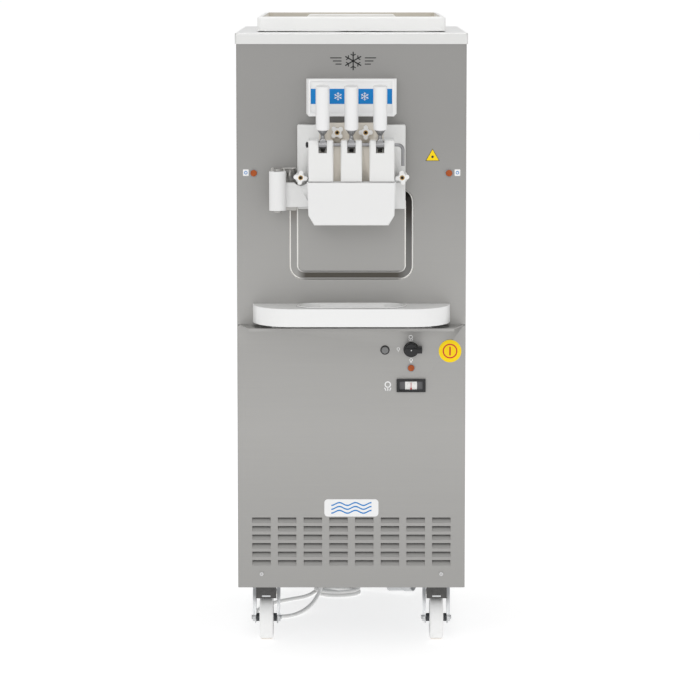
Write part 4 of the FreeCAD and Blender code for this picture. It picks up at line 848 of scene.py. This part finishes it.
# ---- mains lead ---------------------------------------------------------------------------------
# Route in mm: across, behind the front panels, above the floor.
CORD_R = 4.5
LAY_Z = CORD_R + 0.3         # centreline of a lead that lies on the floor
UPPER_LAY = 9.0              # the turns on top lie this much higher
COIL_X, COIL_DEPTH = -35.0, 640.0
OUTER_TURN = 54.8            # radius of the outer turns
TURN_GAP = 9.6               # the inner turns' radius is this much less
TURNS = 3
COIL_IN, COIL_OUT = 165, 80  # angles where the lead meets the coil and leaves it
LEAD = [
    (-70, 450, 96), (-70, 450, 64), (-80, 436, 36), (-97, 410, 16), (-120, 372, 6), (-144, 333, LAY_Z),
    (-171, 320, LAY_Z), (-201, 324, LAY_Z), (-223, 344, LAY_Z), (-231, 373, LAY_Z), (-224, 417, LAY_Z),
    (-207, 464, LAY_Z), (-182, 507, LAY_Z), (-151, 540, LAY_Z), (-120, 567, LAY_Z),
]
TAIL = [(31, 683, 15), (54, 675, 18), (75, 664, 20.4)]


def eased(value, start, end):
    """From 0 at start to 1 at end, with soft ends."""
    share = min(1.0, max(0.0, (value - start) / (end - start)))
    return share * share * (3 - 2 * share)


def coil_turns():
    """Three and a quarter turns, run clockwise from above: two on the floor, the rest on them."""
    turned = []
    last = COIL_OUT - 360 * TURNS
    steps = 20 * TURNS
    for k in range(steps + 1):
        angle = COIL_IN + (last - COIL_IN) * k / steps
        turn = (COIL_IN - angle) / 360
        inward = eased(turn, 0.76, 1.0) - eased(turn, 2.28, 2.52)
        upward = eased(turn, 1.52, 1.76)
        radius = OUTER_TURN - TURN_GAP * inward
        a = math.radians(angle)
        x, depth = COIL_X + radius * math.cos(a), COIL_DEPTH + radius * math.sin(a)
        turned.append((x, depth, LAY_Z + UPPER_LAY * upward))
    return turned


def tangent(angle, ahead, z):
    """A point on the outer turn's tangent at that angle, so many mm past it."""
    a = math.radians(angle)
    x = COIL_X + OUTER_TURN * math.cos(a) + math.sin(a) * ahead
    return (x, COIL_DEPTH + OUTER_TURN * math.sin(a) - math.cos(a) * ahead, z)


route = LEAD + [tangent(COIL_IN, -before, LAY_Z) for before in (61, 33, 12)]
route += coil_turns() + [tangent(COIL_OUT, after, LAY_Z + UPPER_LAY) for after in (12, 33)] + TAIL
points = [at(x, -depth, z) for x, depth, z in route]
line = bpy.data.curves.new("mains_lead", "CURVE")
line.dimensions = "3D"
line.bevel_depth = CORD_R * MM
line.bevel_resolution = 5
line.resolution_u = 6
line.use_fill_caps = True
spline = line.splines.new("NURBS")
spline.points.add(len(points) - 1)
for target, point in zip(spline.points, points):
    target.co = (*point, 1.0)
spline.order_u = 3
spline.use_endpoint_u = True
lead = bpy.data.objects.new("mains_lead", line)
bpy.context.scene.collection.objects.link(lead)
line.materials.append(finishes["cord_rubber"].material)
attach(lead, "cabinet")
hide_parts("mains_cord", "cord_coil")


# ---- floor, light and camera --------------------------------------------------------------------
bm = bmesh.new()
bmesh.ops.create_circle(bm, cap_ends=True, radius=300, segments=64)
floor_mesh = bpy.data.meshes.new("studio_floor")
bm.to_mesh(floor_mesh)
bm.free()
floor = bpy.data.objects.new("studio_floor", floor_mesh)
floor.location.z = -0.0005          # just under the wheels
floor_mesh.materials.append(floor_finish().material)
bpy.context.scene.collection.objects.link(floor)

world = bpy.data.worlds.new("studio")
world.use_nodes = True
sky = world.node_tree
towards = sky.nodes.new("ShaderNodeTexCoord")
height = sky.nodes.new("ShaderNodeSeparateXYZ")
glow = sky.nodes.new("ShaderNodeValToRGB")
sky.links.new(towards.outputs["Generated"], height.inputs[0])
sky.links.new(height.outputs["Z"], glow.inputs["Fac"])
sky.links.new(glow.outputs["Color"], sky.nodes["Background"].inputs["Color"])
SKY = [(0.0, 0.95), (0.16, 0.95), (0.35, 0.50), (0.65, 0.60), (1.0, 0.80)]
while len(glow.color_ramp.elements) < len(SKY):
    glow.color_ramp.elements.new(1.0)
for element, (position, level) in zip(glow.color_ramp.elements, SKY):
    element.position = position
    element.color = (level, level, level, 1)
bpy.context.scene.world = world


def softbox(name, place, target, width, height, power):
    """A large rectangular area light that faces a target."""
    light = bpy.data.lights.new(name, "AREA")
    light.shape = "RECTANGLE"
    light.size, light.size_y, light.energy = width, height, power
    lamp = bpy.data.objects.new(name, light)
    lamp.location = place
    lamp.rotation_euler = (Vector(target) - Vector(place)).to_track_quat("-Z", "Y").to_euler()
    bpy.context.scene.collection.objects.link(lamp)


softbox("key_light", (-1.4, -5.6, 3.6), (0, 0, 0.8), 4.0, 2.6, 58)
softbox("fill_light", (3.0, -5.0, 2.4), (0, 0, 0.8), 3.0, 3.0, 18)
softbox("top_light", (0, 0.2, 4.2), (0, 0, 0.5), 2.4, 2.4, 26)

CAMERA_BACK = 7.551          # metres in front of the front panels
CAMERA_HIGH = 1.573
CAMERA_TILT = 6.7            # degrees below level
camera_data = bpy.data.cameras.new("camera")
camera_data.lens = 171.7
camera_data.sensor_width = 36
camera_data.shift_x = -0.002
camera = bpy.data.objects.new("camera", camera_data)
camera.location = (0, FRONT - CAMERA_BACK, CAMERA_HIGH)
camera.rotation_euler = (math.radians(90 - CAMERA_TILT), 0, 0)
bpy.context.scene.collection.objects.link(camera)
bpy.context.scene.camera = camera
bpy.context.scene.view_settings.view_transform = "Standard"
